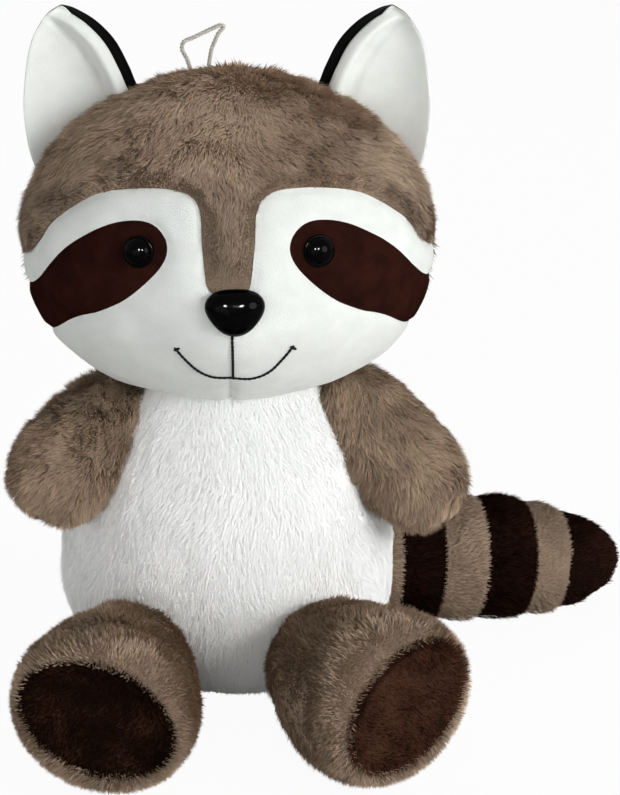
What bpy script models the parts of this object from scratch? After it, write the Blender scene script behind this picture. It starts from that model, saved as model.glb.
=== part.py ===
"""A seated plush raccoon, made of its sewn panels, stuffing, eyes, nose and hanging loop.

Metres, +Z up. The toy looks along -Y. Left and right are as seen from its front.
The origin lies on the surface that it sits on, under its body.
"""
import math

import bmesh
import bpy
from mathutils import Vector

# Cloth and clearances
PANEL = 0.002              # thickness of a sewn panel with the dense root of its pile
GAP = 0.0003               # between pieces that meet
OVERSHOOT = 0.4            # reach of a cutter past what it cuts

# Head
HEAD_CENTRE = Vector((0.001, -0.008, 0.227))
HEAD_HALF_WIDTH = 0.1005
HEAD_FRONT = 0.078         # from the centre to the face
HEAD_BACK = 0.074          # from the centre to the back of the head
HEAD_UP = 0.0855           # from the widest level to the top
HEAD_DOWN = 0.075          # from the widest level to the chin
HEAD_JOWL = 2.3            # how square the lower half is, 2 being round
HEAD_SIDES = 22
HEAD_RINGS = 13
HEAD_FRONT_FINER = 0.35    # how much closer together the head's facets are on the face
EAR_SEAM_Y = 0.002         # plane of the seam that runs from ear to ear over the head
NECK_RADIUS = 0.034        # opening in the head's panels over the body
NECK_REACH = 0.04          # how far that opening runs up and down from the chin's level
FACE_STEP = 0.004          # span over which the slope of the face is taken
MUZZLE_RISE = 0.007
MUZZLE_HALF_WIDTH = 0.028
MUZZLE_HALF_HEIGHT = 0.026
MUZZLE_Z = 0.205

# Face seams, seen from the front: distance outwards from the face's centre line, and height
FACE_X = 0.003
CROWN_SEAM = ((0.118, 0.209), (0.096, 0.231), (0.084, 0.249), (0.066, 0.263), (0.048, 0.2685),
              (0.030, 0.270), (0.019, 0.268), (0.0135, 0.261), (0.0125, 0.245), (0.0105, 0.226))
BLAZE_END_Z = 0.217        # lower end of the brown stripe, under the nose
PATCH_SEAM = ((0.112, 0.196), (0.097, 0.213), (0.079, 0.237), (0.061, 0.250), (0.046, 0.255),
              (0.035, 0.2535), (0.0290, 0.245), (0.0325, 0.234), (0.048, 0.218), (0.062, 0.209),
              (0.078, 0.200), (0.100, 0.174))
SEAM_STEPS = 2             # short straight stitches between two points of a seam

# Eyes and nose
EYE_OUT = 0.0424           # from the face's centre line
EYE_Z = 0.241
EYE_RADIUS = 0.0075
EYE_DOME = 0.0056
EYE_SINK = 0.001           # how far the flat back of an eye or nose presses into the pile
STEM_RADIUS = 0.0023
STEM_LENGTH = 0.013
WASHER_RADIUS = 0.008
WASHER_THICK = 0.0018
WASHER_DEPTH = 0.0052      # from the head's surface to the washer's outer face
NOSE_X = 0.0055
NOSE_Z = 0.216
NOSE_HALF_WIDTH = 0.0137
NOSE_HALF_HEIGHT = 0.0112
NOSE_DOME = 0.0085
NOSE_LOBES = 0.09          # how far its three rounded corners stand out
TURN_SIDES = 10
NOSE_SIDES = 15

# Ears: edges from the base to the tip, outwards from the head's centre, and height
EAR_OUTER = ((0.080, 0.246), (0.094, 0.264), (0.0985, 0.288), (0.0975, 0.309), (0.094, 0.326),
             (0.087, 0.338), (0.0815, 0.342))
EAR_INNER = ((0.034, 0.292), (0.043, 0.303), (0.0475, 0.3135), (0.054, 0.326), (0.063, 0.3355),
             (0.073, 0.3415), (0.0785, 0.343))
EAR_STRIP = 0.0052         # how far the black back shows past the white front, at the inner edge
EAR_Y = -0.006             # of the ear's edges
EAR_CUP = 0.011            # depth of the hollow between its edges
EAR_CLOSING = 0.75         # how much of that hollow is gone at the tip
EAR_STRIP_MOST = 0.25      # largest share of the ear's width that the black strip takes
EAR_STEPS = 8              # points of an edge between two that are given
EAR_SHEET = 0.0022
EAR_ROWS = 7
EAR_COLUMNS = 6

# Hanging loop, on the seam over the head
LOOP_DIAMETER = 0.0023
LOOP_ROUTE = ((-0.0170, 0.002, 0.3107), (-0.0185, 0.002, 0.3155), (-0.0208, 0.001, 0.3205),
              (-0.0198, 0.000, 0.3245), (-0.0150, 0.001, 0.3265), (-0.0085, 0.002, 0.3295),
              (-0.0030, 0.002, 0.3320), (-0.0008, 0.003, 0.3312), (-0.0035, 0.003, 0.3275),
              (-0.0065, 0.003, 0.3205), (-0.0075, 0.003, 0.3155), (-0.0080, 0.002, 0.3119))

# Body
BODY_CENTRE = Vector((-0.001, 0.0, 0.060))
BODY_HALF_WIDTH = 0.081
BODY_FRONT = 0.072
BODY_BACK = 0.066
BODY_UP = 0.122
BODY_DOWN = 0.0625
BODY_SEAT = 2.4            # how square the lower half is
BODY_SIDES = 16
BODY_RINGS = 10
BELLY_SEAM = ((-0.036, -0.010), (-0.034, 0.004), (-0.022, 0.018), (-0.004, 0.040), (0.003, 0.070),
              (0.004, 0.110), (0.000, 0.180))    # side view: y and z of the seam of belly and back

# Arms: each runs from inside the shoulder to the end of the paw
ARM_LEFT = (Vector((-0.036, -0.010, 0.147)), Vector((-0.066, -0.030, 0.142)),
            Vector((-0.094, -0.052, 0.102)))
ARM_RIGHT = (Vector((0.045, -0.008, 0.153)), Vector((0.074, -0.020, 0.140)),
             Vector((0.108, -0.036, 0.093)))
ARM_BROAD = 0.0275         # half width across the arm
ARM_THIN = 0.0235          # half width from front to back
ARM_SHOULDER = 0.86        # size at the shoulder, as a share of the paw's
ARM_ROUND = 2.7            # how blunt its ends are, 2 being round
ARM_SIDES = 10
ARM_RINGS = 6

# Legs: each runs from inside the hip to the middle of the sole, and turns outwards
LEG_LEFT = (Vector((-0.040, -0.012, 0.028)), Vector((-0.049, -0.095, 0.032)),
            Vector((-0.0575, -0.164, 0.0405)))
LEG_RIGHT = (Vector((0.040, -0.012, 0.028)), Vector((0.046, -0.095, 0.033)),
             Vector((0.0865, -0.153, 0.0430)))
LEG_HIP = 0.022
LEG_START = 0.55           # size at its start inside the hip, as a share of the hip's
LEG_START_SHARE = 0.015    # share of its length at that start
LEG_SHARES = (0.08, 0.30, 0.50, 0.68)
FOOT_TURNS = (0, 30, 60, 90)         # degrees through which a foot rounds in to its sole
FOOT_BROAD = 0.0435
FOOT_THIN = 0.0385
SOLE_BROAD = 0.0365
SOLE_THIN = 0.0242
SOLE_DISH = 0.0025
SOLE_TURN = 0.001          # how far the sole's panel turns over the edge of the flat
SOLE_RIM = 0.84            # share of the leg's length at which its foot starts to round in
LEG_ROLL_LEFT = math.radians(21)     # the sole's long axis, above the level
LEG_ROLL_RIGHT = math.radians(32)
LEG_SIDES = 12

# Tail: from inside the back to its tip, resting beside the body
TAIL = (Vector((0.030, 0.060, 0.034)), Vector((0.110, 0.068, 0.035)), Vector((0.206, 0.098, 0.0195)))
TAIL_ROOT = 0.023
TAIL_RADIUS = 0.0335
TAIL_FULLEST = 0.42        # share of its length
TAIL_SLIM = 3.0            # how late it slims towards its tip
TAIL_BLUNT = 0.50          # how blunt its tip is, 1 being pointed
TAIL_START = 0.6           # size at its start inside the body, as a share of its root's
TAIL_FIRST = 0.03          # shares of its length at its first and last rings
TAIL_LAST = 0.985
TAIL_SIDES = 10
TAIL_RINGS = 9
BAND_SEAMS = (("tail_root_band", 0.325), ("tail_dark_band_1", 0.45), ("tail_light_band_1", 0.575),
              ("tail_dark_band_2", 0.715), ("tail_light_band_2", 0.82), ("tail_tip", 1.0))

# Colours, red green blue as seen
BROWN = (0.49, 0.41, 0.36)
WHITE = (0.95, 0.96, 0.94)
DARK = (0.16, 0.07, 0.06)
TAIL_DARK = (0.12, 0.08, 0.06)
BLACK = (0.02, 0.02, 0.02)
STUFFING = (0.92, 0.92, 0.90)
CORD = (0.70, 0.69, 0.64)
CLEAR_PLASTIC = (0.85, 0.85, 0.83)


def linear(colour):
    """The colour that a material takes for one given as it is seen."""
    return [((c + 0.055) / 1.055) ** 2.4 if c > 0.04045 else c / 12.92 for c in colour] + [1.0]


def finish(name, colour, roughness):
    made = bpy.data.materials.new(name)
    made.use_nodes = True
    shader = made.node_tree.nodes["Principled BSDF"]
    shader.inputs["Base Color"].default_value = linear(colour)
    shader.inputs["Roughness"].default_value = roughness
    shader.inputs["Metallic"].default_value = 0.0
    return made


def mirrored(points, side, centre):
    """Outline points given outwards from a centre line, on the left (-1) or right (1)."""
    return [(centre + side * out, z) for out, z in points]


def smooth_through(points, steps):
    """Points of a smooth curve that passes through the given ones."""
    points = [Vector(p) for p in points]
    last = len(points) - 1
    curve = []
    for i in range(last):
        near = [points[min(max(k, 0), last)] for k in range(i - 1, i + 3)]
        for step in range(steps):
            t = step / steps
            a = 2 * near[1]
            b = near[2] - near[0]
            c = 2 * near[0] - 5 * near[1] + 4 * near[2] - near[3]
            d = 3 * near[1] - near[0] - 3 * near[2] + near[3]
            curve.append((a + b * t + c * t * t + d * t * t * t) / 2)
    return curve + [points[-1]]


def bend(path, t):
    """The point and direction at a share of a path's three-point curve."""
    start, middle, end = path
    point = start * (1 - t) ** 2 + middle * 2 * t * (1 - t) + end * t * t
    return point, ((middle - start) * (1 - t) + (end - middle) * t).normalized()


def ease(t):
    t = min(max(t, 0.0), 1.0)
    return t * t * (3 - 2 * t)


def to_mesh(name, bm):
    bmesh.ops.recalc_face_normals(bm, faces=bm.faces)
    mesh = bpy.data.meshes.new(name)
    bm.to_mesh(mesh)
    bm.free()
    return mesh


def ringed_mesh(name, rings, start, end):
    """A closed skin over rings of points, from one end point to the other."""
    bm = bmesh.new()
    loops = [[bm.verts.new(p) for p in ring] for ring in rings]
    first, last = bm.verts.new(start), bm.verts.new(end)
    count = len(rings[0])
    for i in range(count):
        j = (i + 1) % count
        bm.faces.new((first, loops[0][j], loops[0][i]))
        bm.faces.new((last, loops[-1][i], loops[-1][j]))
        for low, high in zip(loops, loops[1:]):
            bm.faces.new((low[i], low[j], high[j], high[i]))
    bmesh.ops.triangulate(bm, faces=bm.faces)
    return to_mesh(name, bm)


def grown(mesh, distance):
    """A copy of a skin moved out of itself by a distance, or into itself if that is negative."""
    bm = bmesh.new()
    bm.from_mesh(mesh)
    bm.normal_update()
    moves = [(v, v.normal * distance * v.calc_shell_factor()) for v in bm.verts]
    for vertex, move in moves:
        vertex.co += move
    return to_mesh(mesh.name + "_offset", bm)


def prism_mesh(name, outline, place, depth):
    """A prism over a flat outline; place(point, along) gives its corners at both ends."""
    bm = bmesh.new()
    near = [bm.verts.new(place(p, -depth)) for p in outline]
    far = [bm.verts.new(place(p, depth)) for p in outline]
    count = len(outline)
    bm.faces.new(near)
    bm.faces.new(far[::-1])
    for i in range(count):
        j = (i + 1) % count
        bm.faces.new((near[j], near[i], far[i], far[j]))
    bmesh.ops.triangulate(bm, faces=[f for f in bm.faces if len(f.verts) > 4])
    return to_mesh(name, bm)


def widened(outline, distance):
    """A closed flat outline moved outwards by a distance."""
    count = len(outline)
    area = sum(outline[i - 1][0] * outline[i][1] - outline[i][0] * outline[i - 1][1] for i in range(count))
    turn = 1 if area > 0 else -1
    moved = []
    for i in range(count):
        before = Vector(outline[i]) - Vector(outline[i - 1])
        after = Vector(outline[(i + 1) % count]) - Vector(outline[i])
        sides = [Vector((edge.y, -edge.x)).normalized() * turn for edge in (before, after)]
        out = (sides[0] + sides[1]).normalized()
        moved.append(Vector(outline[i]) + out * distance / max(out.dot(sides[0]), 0.5))
    return moved


def cutter(name, mesh):
    tool = bpy.data.objects.new(name, mesh)
    bpy.context.collection.objects.link(tool)
    tool.hide_render = True
    tool.display_type = "WIRE"
    return tool


def piece(name, mesh, look, keep=(), remove=()):
    """A part of the toy: a mesh, kept inside some cutters and cut by others."""
    made = bpy.data.objects.new(name, mesh.copy())
    bpy.context.collection.objects.link(made)
    made.data.materials.clear()
    made.data.materials.append(finish(name, *look))
    for operation, tools in (("INTERSECT", keep), ("DIFFERENCE", remove)):
        for tool in tools:
            cut = made.modifiers.new(tool.name, "BOOLEAN")
            cut.operation = operation
            cut.solver = "EXACT"
            cut.object = tool
    made.data.shade_smooth()
    return made


def side_cutter(name, outline, distance):
    """A cutter over a front-view outline, running through the head from front to back."""
    shape = widened(outline, distance)
    return cutter(name, prism_mesh(name, shape, lambda p, along: (p[0], along, p[1]), OVERSHOOT))


def half_space(name, point, normal):
    """A block that fills the space on the side of a plane to which its normal points."""
    along = normal.normalized()
    across = along.orthogonal().normalized()
    up = along.cross(across)
    middle = point + along * OVERSHOOT
    corners = [(-1, -1), (1, -1), (1, 1), (-1, 1)]
    mesh = prism_mesh(name, corners,
                      lambda p, reach: middle + (across * p[0] + up * p[1]) * OVERSHOOT + along * reach,
                      OVERSHOOT)
    return cutter(name, mesh)


def plane_pair(name, point, normal):
    """The two halves of space at a seam, each half a gap short of it."""
    step = normal.normalized() * GAP / 2
    return (half_space(name + "_ahead", point + step, normal),
            half_space(name + "_behind", point - step, -normal))


def turned(name, profile, place):
    """A round piece: radius and height pairs from its inner end to its outer end, turned."""
    (_, low), (_, high) = profile[0], profile[-1]
    rings = []
    for radius, height in profile[1:-1]:
        rings.append([place(radius * math.cos(a), radius * math.sin(a), height)
                      for a in (2 * math.pi * i / TURN_SIDES for i in range(TURN_SIDES))])
    return ringed_mesh(name, rings, place(0, 0, low), place(0, 0, high))


def dome(radius, base, height, steps):
    """The profile of a dome, from its rim inwards to its top."""
    angles = [math.pi / 2 * i / steps for i in range(steps + 1)]
    return [(radius * math.cos(a), base + height * math.sin(a)) for a in angles]


def muzzle(x, z):
    """How far the snout stands out of the rounded face."""
    across = (x - FACE_X) / MUZZLE_HALF_WIDTH
    up = (z - MUZZLE_Z) / MUZZLE_HALF_HEIGHT
    return MUZZLE_RISE * math.exp(-across ** 2 - up ** 2)


def head_point(around, up):
    """The head's surface at an angle around it and an angle above its widest level."""
    power = 2 / HEAD_JOWL if up < 0 else 1
    level = math.cos(up) ** power
    height = math.copysign(abs(math.sin(up)) ** power, up) * (HEAD_DOWN if up < 0 else HEAD_UP)
    front = math.sin(around) < 0
    x = HEAD_CENTRE.x + HEAD_HALF_WIDTH * level * math.cos(around)
    y = HEAD_CENTRE.y + (HEAD_FRONT if front else HEAD_BACK) * level * math.sin(around)
    z = HEAD_CENTRE.z + height
    return Vector((x, y - (muzzle(x, z) if front else 0), z))


def face_point(x, z):
    """The head's surface seen from the front at a place."""
    rise = z - HEAD_CENTRE.z
    power = HEAD_JOWL if rise < 0 else 2
    level = (1 - (abs(rise) / (HEAD_DOWN if rise < 0 else HEAD_UP)) ** power) ** (1 / power)
    across = (x - HEAD_CENTRE.x) / HEAD_HALF_WIDTH
    depth = HEAD_FRONT * math.sqrt(level ** 2 - across ** 2)
    return Vector((x, HEAD_CENTRE.y - depth - muzzle(x, z), z))


def face_frame(x, z):
    """A function from across, up and out of the face at a place to the toy's own frame."""
    centre = face_point(x, z)
    across = (face_point(x + FACE_STEP, z) - face_point(x - FACE_STEP, z)).normalized()
    up = (face_point(x, z + FACE_STEP) - face_point(x, z - FACE_STEP)).normalized()
    out = across.cross(up).normalized()
    up = out.cross(across)
    return lambda a, u, o: centre + across * a + up * u + out * o


def head_mesh():
    rings = []
    for i in range(HEAD_RINGS):
        up = math.pi * ((i + 1) / (HEAD_RINGS + 1) - 0.5)
        turns = [2 * math.pi * (k + 0.5) / HEAD_SIDES for k in range(HEAD_SIDES)]
        rings.append([head_point(a - HEAD_FRONT_FINER * math.cos(a), up) for a in turns])
    return ringed_mesh("head", rings, head_point(0, -math.pi / 2), head_point(0, math.pi / 2))


def body_point(around, up):
    """The body's surface, flat where it sits on the surface under it."""
    power = 2 / BODY_SEAT if up < 0 else 1
    level = math.cos(up) ** power
    height = math.copysign(abs(math.sin(up)) ** power, up) * (BODY_DOWN if up < 0 else BODY_UP)
    x = BODY_CENTRE.x + BODY_HALF_WIDTH * level * math.cos(around)
    depth = BODY_FRONT if math.sin(around) < 0 else BODY_BACK
    y = BODY_CENTRE.y + depth * level * math.sin(around)
    return Vector((x, y, max(BODY_CENTRE.z + height, 0.0)))


def body_mesh():
    rings = []
    for i in range(BODY_RINGS):
        up = math.pi * ((i + 1) / (BODY_RINGS + 1) - 0.5)
        rings.append([body_point(2 * math.pi * (k + 0.5) / BODY_SIDES, up) for k in range(BODY_SIDES)])
    return ringed_mesh("body", rings, body_point(0, -math.pi / 2), body_point(0, math.pi / 2))


def swept_mesh(name, path, sections, broad, sides, tip=None):
    """A limb over oval sections along a path; a section is a share of the path and two half widths."""
    rings = []
    for t, wide, thin in sections:
        centre, along = bend(path, t)
        across = (broad - along * broad.dot(along)).normalized()
        up = along.cross(across)
        ring = []
        for k in range(sides):
            angle = 2 * math.pi * (k + 0.5) / sides
            point = centre + across * wide * math.cos(angle) + up * thin * math.sin(angle)
            point.z = max(point.z, 0.0)
            ring.append(point)
        rings.append(ring)
    end = tip if tip is not None else bend(path, 1)[0]
    start = bend(path, 0)[0]
    return ringed_mesh(name, rings, start, end)


def arm_sections():
    sections = []
    for i in range(ARM_RINGS):
        t = (1 - math.cos(math.pi * (i + 1) / (ARM_RINGS + 1))) / 2
        blunt = (1 - abs(2 * t - 1) ** ARM_ROUND) ** (1 / ARM_ROUND)
        size = (ARM_SHOULDER + (1 - ARM_SHOULDER) * ease(t)) * blunt
        sections.append((t, ARM_BROAD * size, ARM_THIN * size))
    return sections


def leg_sections():
    sections = [(LEG_START_SHARE, LEG_HIP * LEG_START, LEG_HIP * LEG_START)]
    for t in LEG_SHARES:
        full = ease(t / SOLE_RIM)
        sections.append((t, LEG_HIP + (FOOT_BROAD - LEG_HIP) * full, LEG_HIP + (FOOT_THIN - LEG_HIP) * full))
    for turn in FOOT_TURNS:
        near, far = math.cos(math.radians(turn)), math.sin(math.radians(turn))
        sections.append((SOLE_RIM + (1 - SOLE_RIM) * far,
                         SOLE_BROAD + (FOOT_BROAD - SOLE_BROAD) * near,
                         SOLE_THIN + (FOOT_THIN - SOLE_THIN) * near))
    return sections


def tail_radius(t):
    if t < TAIL_FULLEST:
        return TAIL_ROOT + (TAIL_RADIUS - TAIL_ROOT) * ease(t / TAIL_FULLEST)
    return TAIL_RADIUS * (1 - ((t - TAIL_FULLEST) / (1 - TAIL_FULLEST)) ** TAIL_SLIM) ** TAIL_BLUNT


def tail_sections():
    sections = [(0.0, TAIL_ROOT * TAIL_START, TAIL_ROOT * TAIL_START)]
    for i in range(TAIL_RINGS):
        t = TAIL_FIRST + (TAIL_LAST - TAIL_FIRST) * math.sin(math.pi / 2 * i / (TAIL_RINGS - 1))
        sections.append((t, tail_radius(t), tail_radius(t)))
    return sections


def build_head(head):
    """The head's six panels, its stuffing, the eyes and the nose."""
    inner = cutter("head_inside", grown(head, -PANEL))
    stuffing = grown(head, -PANEL - GAP)
    neck = cutter("neck_opening", turned("neck_opening", [(0, -NECK_REACH), (NECK_RADIUS, -NECK_REACH),
                                                          (NECK_RADIUS, NECK_REACH), (0, NECK_REACH)],
                                         lambda a, b, h: Vector((a, b, HEAD_CENTRE.z - HEAD_DOWN + h))))
    seam = Vector((0, EAR_SEAM_Y, 0))
    front, back = plane_pair("ear_seam", seam, Vector((0, -1, 0)))
    centre = Vector((FACE_X, 0, 0))
    right, left = plane_pair("centre_seam", centre, Vector((1, 0, 0)))

    brown = (BROWN, 0.9)
    nose_place = face_frame(NOSE_X, NOSE_Z)
    nose_seat = cutter("nose_seat", nose_mesh("nose_seat", nose_place, GAP))
    crown_cuts = [inner, neck, nose_seat]
    pockets = [cutter("nose_pocket", pocket_mesh("nose_pocket", nose_place))]
    for side, name in ((-1, "left"), (1, "right")):
        seam_curve = smooth_through(mirrored(CROWN_SEAM, side, FACE_X), SEAM_STEPS)
        below = HEAD_CENTRE.z - 2 * HEAD_DOWN
        corners = [(FACE_X, BLAZE_END_Z), (FACE_X, below), (seam_curve[0].x, below)]
        face_outline = seam_curve + [Vector(c) for c in corners]
        patch_outline = smooth_through(mirrored(PATCH_SEAM, side, FACE_X), SEAM_STEPS)
        face_area = side_cutter("face_area_" + name, face_outline, -GAP / 2)
        crown_cuts.append(side_cutter("face_hole_" + name, face_outline, GAP / 2))
        patch_area = side_cutter("patch_area_" + name, patch_outline, -GAP / 2)
        patch_hole = side_cutter("patch_hole_" + name, patch_outline, GAP / 2)

        eye_place = face_frame(FACE_X + side * EYE_OUT, EYE_Z)
        eye_seat = cutter("eye_seat_" + name, eye_mesh("eye_seat", eye_place, GAP))
        piece("face_" + name, head, (WHITE, 0.85), keep=[front, face_area],
              remove=[inner, neck, patch_hole, nose_seat])
        piece("eye_patch_" + name, head, (DARK, 0.8), keep=[front, patch_area], remove=[inner, eye_seat])
        piece("head_back_" + name, head, brown, keep=[back, right if side > 0 else left],
              remove=[inner, neck])
        piece("eye_" + name, eye_mesh("eye_" + name, eye_place, 0), (BLACK, 0.08))
        piece("eye_washer_" + name, washer_mesh("eye_washer_" + name, eye_place), (CLEAR_PLASTIC, 0.4))
        pockets.append(cutter("eye_pocket_" + name, pocket_mesh("eye_pocket", eye_place)))
    piece("crown_panel", head, brown, keep=[front], remove=crown_cuts)
    piece("nose", nose_mesh("nose", nose_place, 0), (BLACK, 0.08))
    piece("nose_washer", washer_mesh("nose_washer", nose_place), (CLEAR_PLASTIC, 0.4))
    piece("head_filling", stuffing, (STUFFING, 0.95), remove=pockets)


def stem_profile(grow):
    return [(0, -STEM_LENGTH - grow), (STEM_RADIUS + grow, -STEM_LENGTH - grow),
            (STEM_RADIUS + grow, -EYE_SINK - grow)]


def eye_mesh(name, place, grow):
    """A domed eye on its stem, or the room that it needs."""
    rim = [(EYE_RADIUS + grow, -EYE_SINK - grow)]
    top = dome(EYE_RADIUS + grow, EYE_SINK, EYE_DOME - EYE_SINK + grow, 4)
    return turned(name, stem_profile(grow) + rim + top, place)


def nose_mesh(name, place, grow):
    """A rounded three-cornered nose, point down, on its stem, or the room that it needs."""
    def ring(share, height):
        points = []
        for i in range(NOSE_SIDES):
            angle = 2 * math.pi * i / NOSE_SIDES
            reach = share * (1 + NOSE_LOBES * math.cos(3 * (angle + math.pi / 2)))
            across = (NOSE_HALF_WIDTH * reach + grow) * math.cos(angle)
            up = (NOSE_HALF_HEIGHT * reach + grow) * math.sin(angle)
            points.append(place(across, up, height))
        return points

    def stem(height):
        radius = STEM_RADIUS + grow
        angles = [2 * math.pi * i / NOSE_SIDES for i in range(NOSE_SIDES)]
        return [place(radius * math.cos(a), radius * math.sin(a), height) for a in angles]

    back = -EYE_SINK - grow
    rings = [stem(-STEM_LENGTH - grow), stem(back), ring(1, back)]
    for share, height in dome(1, EYE_SINK, NOSE_DOME - EYE_SINK + grow, 4)[:-1]:
        rings.append(ring(share, height))
    return ringed_mesh(name, rings, place(0, 0, -STEM_LENGTH - grow), place(0, 0, NOSE_DOME + grow))


def washer_mesh(name, place):
    """The locking washer inside the head, around the stem."""
    inner, outer = -WASHER_DEPTH - WASHER_THICK, -WASHER_DEPTH
    bm = bmesh.new()
    corners = [(STEM_RADIUS + GAP, inner), (WASHER_RADIUS, inner), (WASHER_RADIUS, outer),
               (STEM_RADIUS + GAP, outer)]
    loops = []
    for i in range(TURN_SIDES):
        angle = 2 * math.pi * i / TURN_SIDES
        loops.append([bm.verts.new(place(r * math.cos(angle), r * math.sin(angle), h)) for r, h in corners])
    for i, loop in enumerate(loops):
        after = loops[(i + 1) % TURN_SIDES]
        for k in range(len(corners)):
            m = (k + 1) % len(corners)
            bm.faces.new((loop[k], loop[m], after[m], after[k]))
    return to_mesh(name, bm)


def pocket_mesh(name, place):
    """The room in the stuffing for a washer and a stem, open at its surface."""
    deep = -STEM_LENGTH - 2 * GAP
    floor = -WASHER_DEPTH - WASHER_THICK - GAP
    profile = [(0, deep), (STEM_RADIUS + GAP, deep), (STEM_RADIUS + GAP, floor), (WASHER_RADIUS + GAP, floor),
               (WASHER_RADIUS + GAP, PANEL), (0, PANEL)]
    return turned(name, profile, place)


def ear_place(side, t, column):
    """A point of an ear's front, from its base to its tip and from its inner to its outer edge."""
    inner, outer = [smooth_through(edge, EAR_STEPS) for edge in (EAR_INNER, EAR_OUTER)]
    k = round(t * (len(inner) - 1))
    strip = min(EAR_STRIP / (outer[k] - inner[k]).length, EAR_STRIP_MOST)
    s = 0 if column == 0 else strip + (1 - strip) * (column - 1) / (EAR_COLUMNS - 2)
    flat = inner[k].lerp(outer[k], s)
    hollow = EAR_CUP * (1 - (2 * s - 1) ** 2) * (1 - EAR_CLOSING * t)
    return Vector((HEAD_CENTRE.x + side * flat.x, EAR_Y + hollow, flat.y))


def ear_mesh(name, side, first_column, shift):
    """One cupped layer of an ear, from one of its columns of points to its outer edge."""
    bm = bmesh.new()
    sheets = []
    for depth in (shift, shift + EAR_SHEET):
        sheets.append([[bm.verts.new(ear_place(side, r / (EAR_ROWS - 1), c) + Vector((0, depth, 0)))
                        for c in range(first_column, EAR_COLUMNS)] for r in range(EAR_ROWS)])
    front, back = sheets
    rows, columns = len(front) - 1, len(front[0]) - 1
    for grid in sheets:
        for r in range(rows):
            for c in range(columns):
                bm.faces.new((grid[r][c], grid[r][c + 1], grid[r + 1][c + 1], grid[r + 1][c]))
    rim = [(0, c) for c in range(columns)] + [(r, columns) for r in range(rows)]
    rim += [(rows, c) for c in range(columns, 0, -1)] + [(r, 0) for r in range(rows, 0, -1)]
    for (r0, c0), (r1, c1) in zip(rim, rim[1:] + rim[:1]):
        bm.faces.new((front[r0][c0], front[r1][c1], back[r1][c1], back[r0][c0]))
    bmesh.ops.triangulate(bm, faces=bm.faces, quad_method="FIXED")
    return to_mesh(name, bm)


def build_ears(around_head):
    for side, name in ((-1, "left"), (1, "right")):
        front = ear_mesh("ear_front", side, 1, 0)
        back = ear_mesh("ear_back", side, 0, EAR_SHEET + GAP)
        piece("ear_front_" + name, front, (WHITE, 0.85), remove=[around_head])
        piece("ear_back_" + name, back, (BLACK, 0.85), remove=[around_head])


def build_loop():
    curve = bpy.data.curves.new("hanging_loop", "CURVE")
    curve.dimensions = "3D"
    curve.bevel_depth = LOOP_DIAMETER / 2
    curve.bevel_resolution = 2
    curve.use_fill_caps = True
    points = smooth_through(LOOP_ROUTE, 1)
    spline = curve.splines.new("POLY")
    spline.points.add(len(points) - 1)
    for place, point in zip(spline.points, points):
        place.co = (*point, 1)
    loop = bpy.data.objects.new("hanging_loop", curve)
    bpy.context.collection.objects.link(loop)
    curve.materials.append(finish("hanging_loop", CORD, 0.8))


def build_body(body, around_head):
    """The white belly, the brown back and the stuffing between them."""
    inner = cutter("body_inside", grown(body, -PANEL))
    curve = smooth_through(BELLY_SEAM, SEAM_STEPS)
    ends = [Vector((-OVERSHOOT, curve[-1].y)), Vector((-OVERSHOOT, curve[0].y))]
    outline = curve + ends

    def area(name, distance):
        mesh = prism_mesh(name, widened(outline, distance), lambda p, along: (along, p[0], p[1]), OVERSHOOT)
        return cutter(name, mesh)

    piece("belly_panel", body, (WHITE, 0.9), keep=[area("belly_area", -GAP / 2)], remove=[inner, around_head])
    piece("back_panel", body, (BROWN, 0.9), remove=[inner, around_head, area("belly_hole", GAP / 2)])
    piece("body_filling", grown(body, -PANEL - GAP), (STUFFING, 0.95), remove=[around_head])


def build_arm(name, path, around_head, around_body):
    start, _, end = path
    broad = Vector((end.z - start.z, 0, start.x - end.x)).normalized()
    arm = swept_mesh("arm_" + name, path, arm_sections(), broad, ARM_SIDES)
    inner = cutter("arm_inside_" + name, grown(arm, -PANEL))
    middle = bend(path, 0.5)[0]
    across = (end - start).cross(broad)
    ahead, behind = plane_pair("arm_seam_" + name, middle, across if across.y < 0 else -across)
    cuts = [inner, around_head, around_body]
    piece("arm_front_" + name, arm, (BROWN, 0.9), keep=[ahead], remove=cuts)
    piece("arm_back_" + name, arm, (BROWN, 0.9), keep=[behind], remove=cuts)
    piece("arm_filling_" + name, grown(arm, -PANEL - GAP), (STUFFING, 0.95), remove=cuts[1:])


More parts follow.
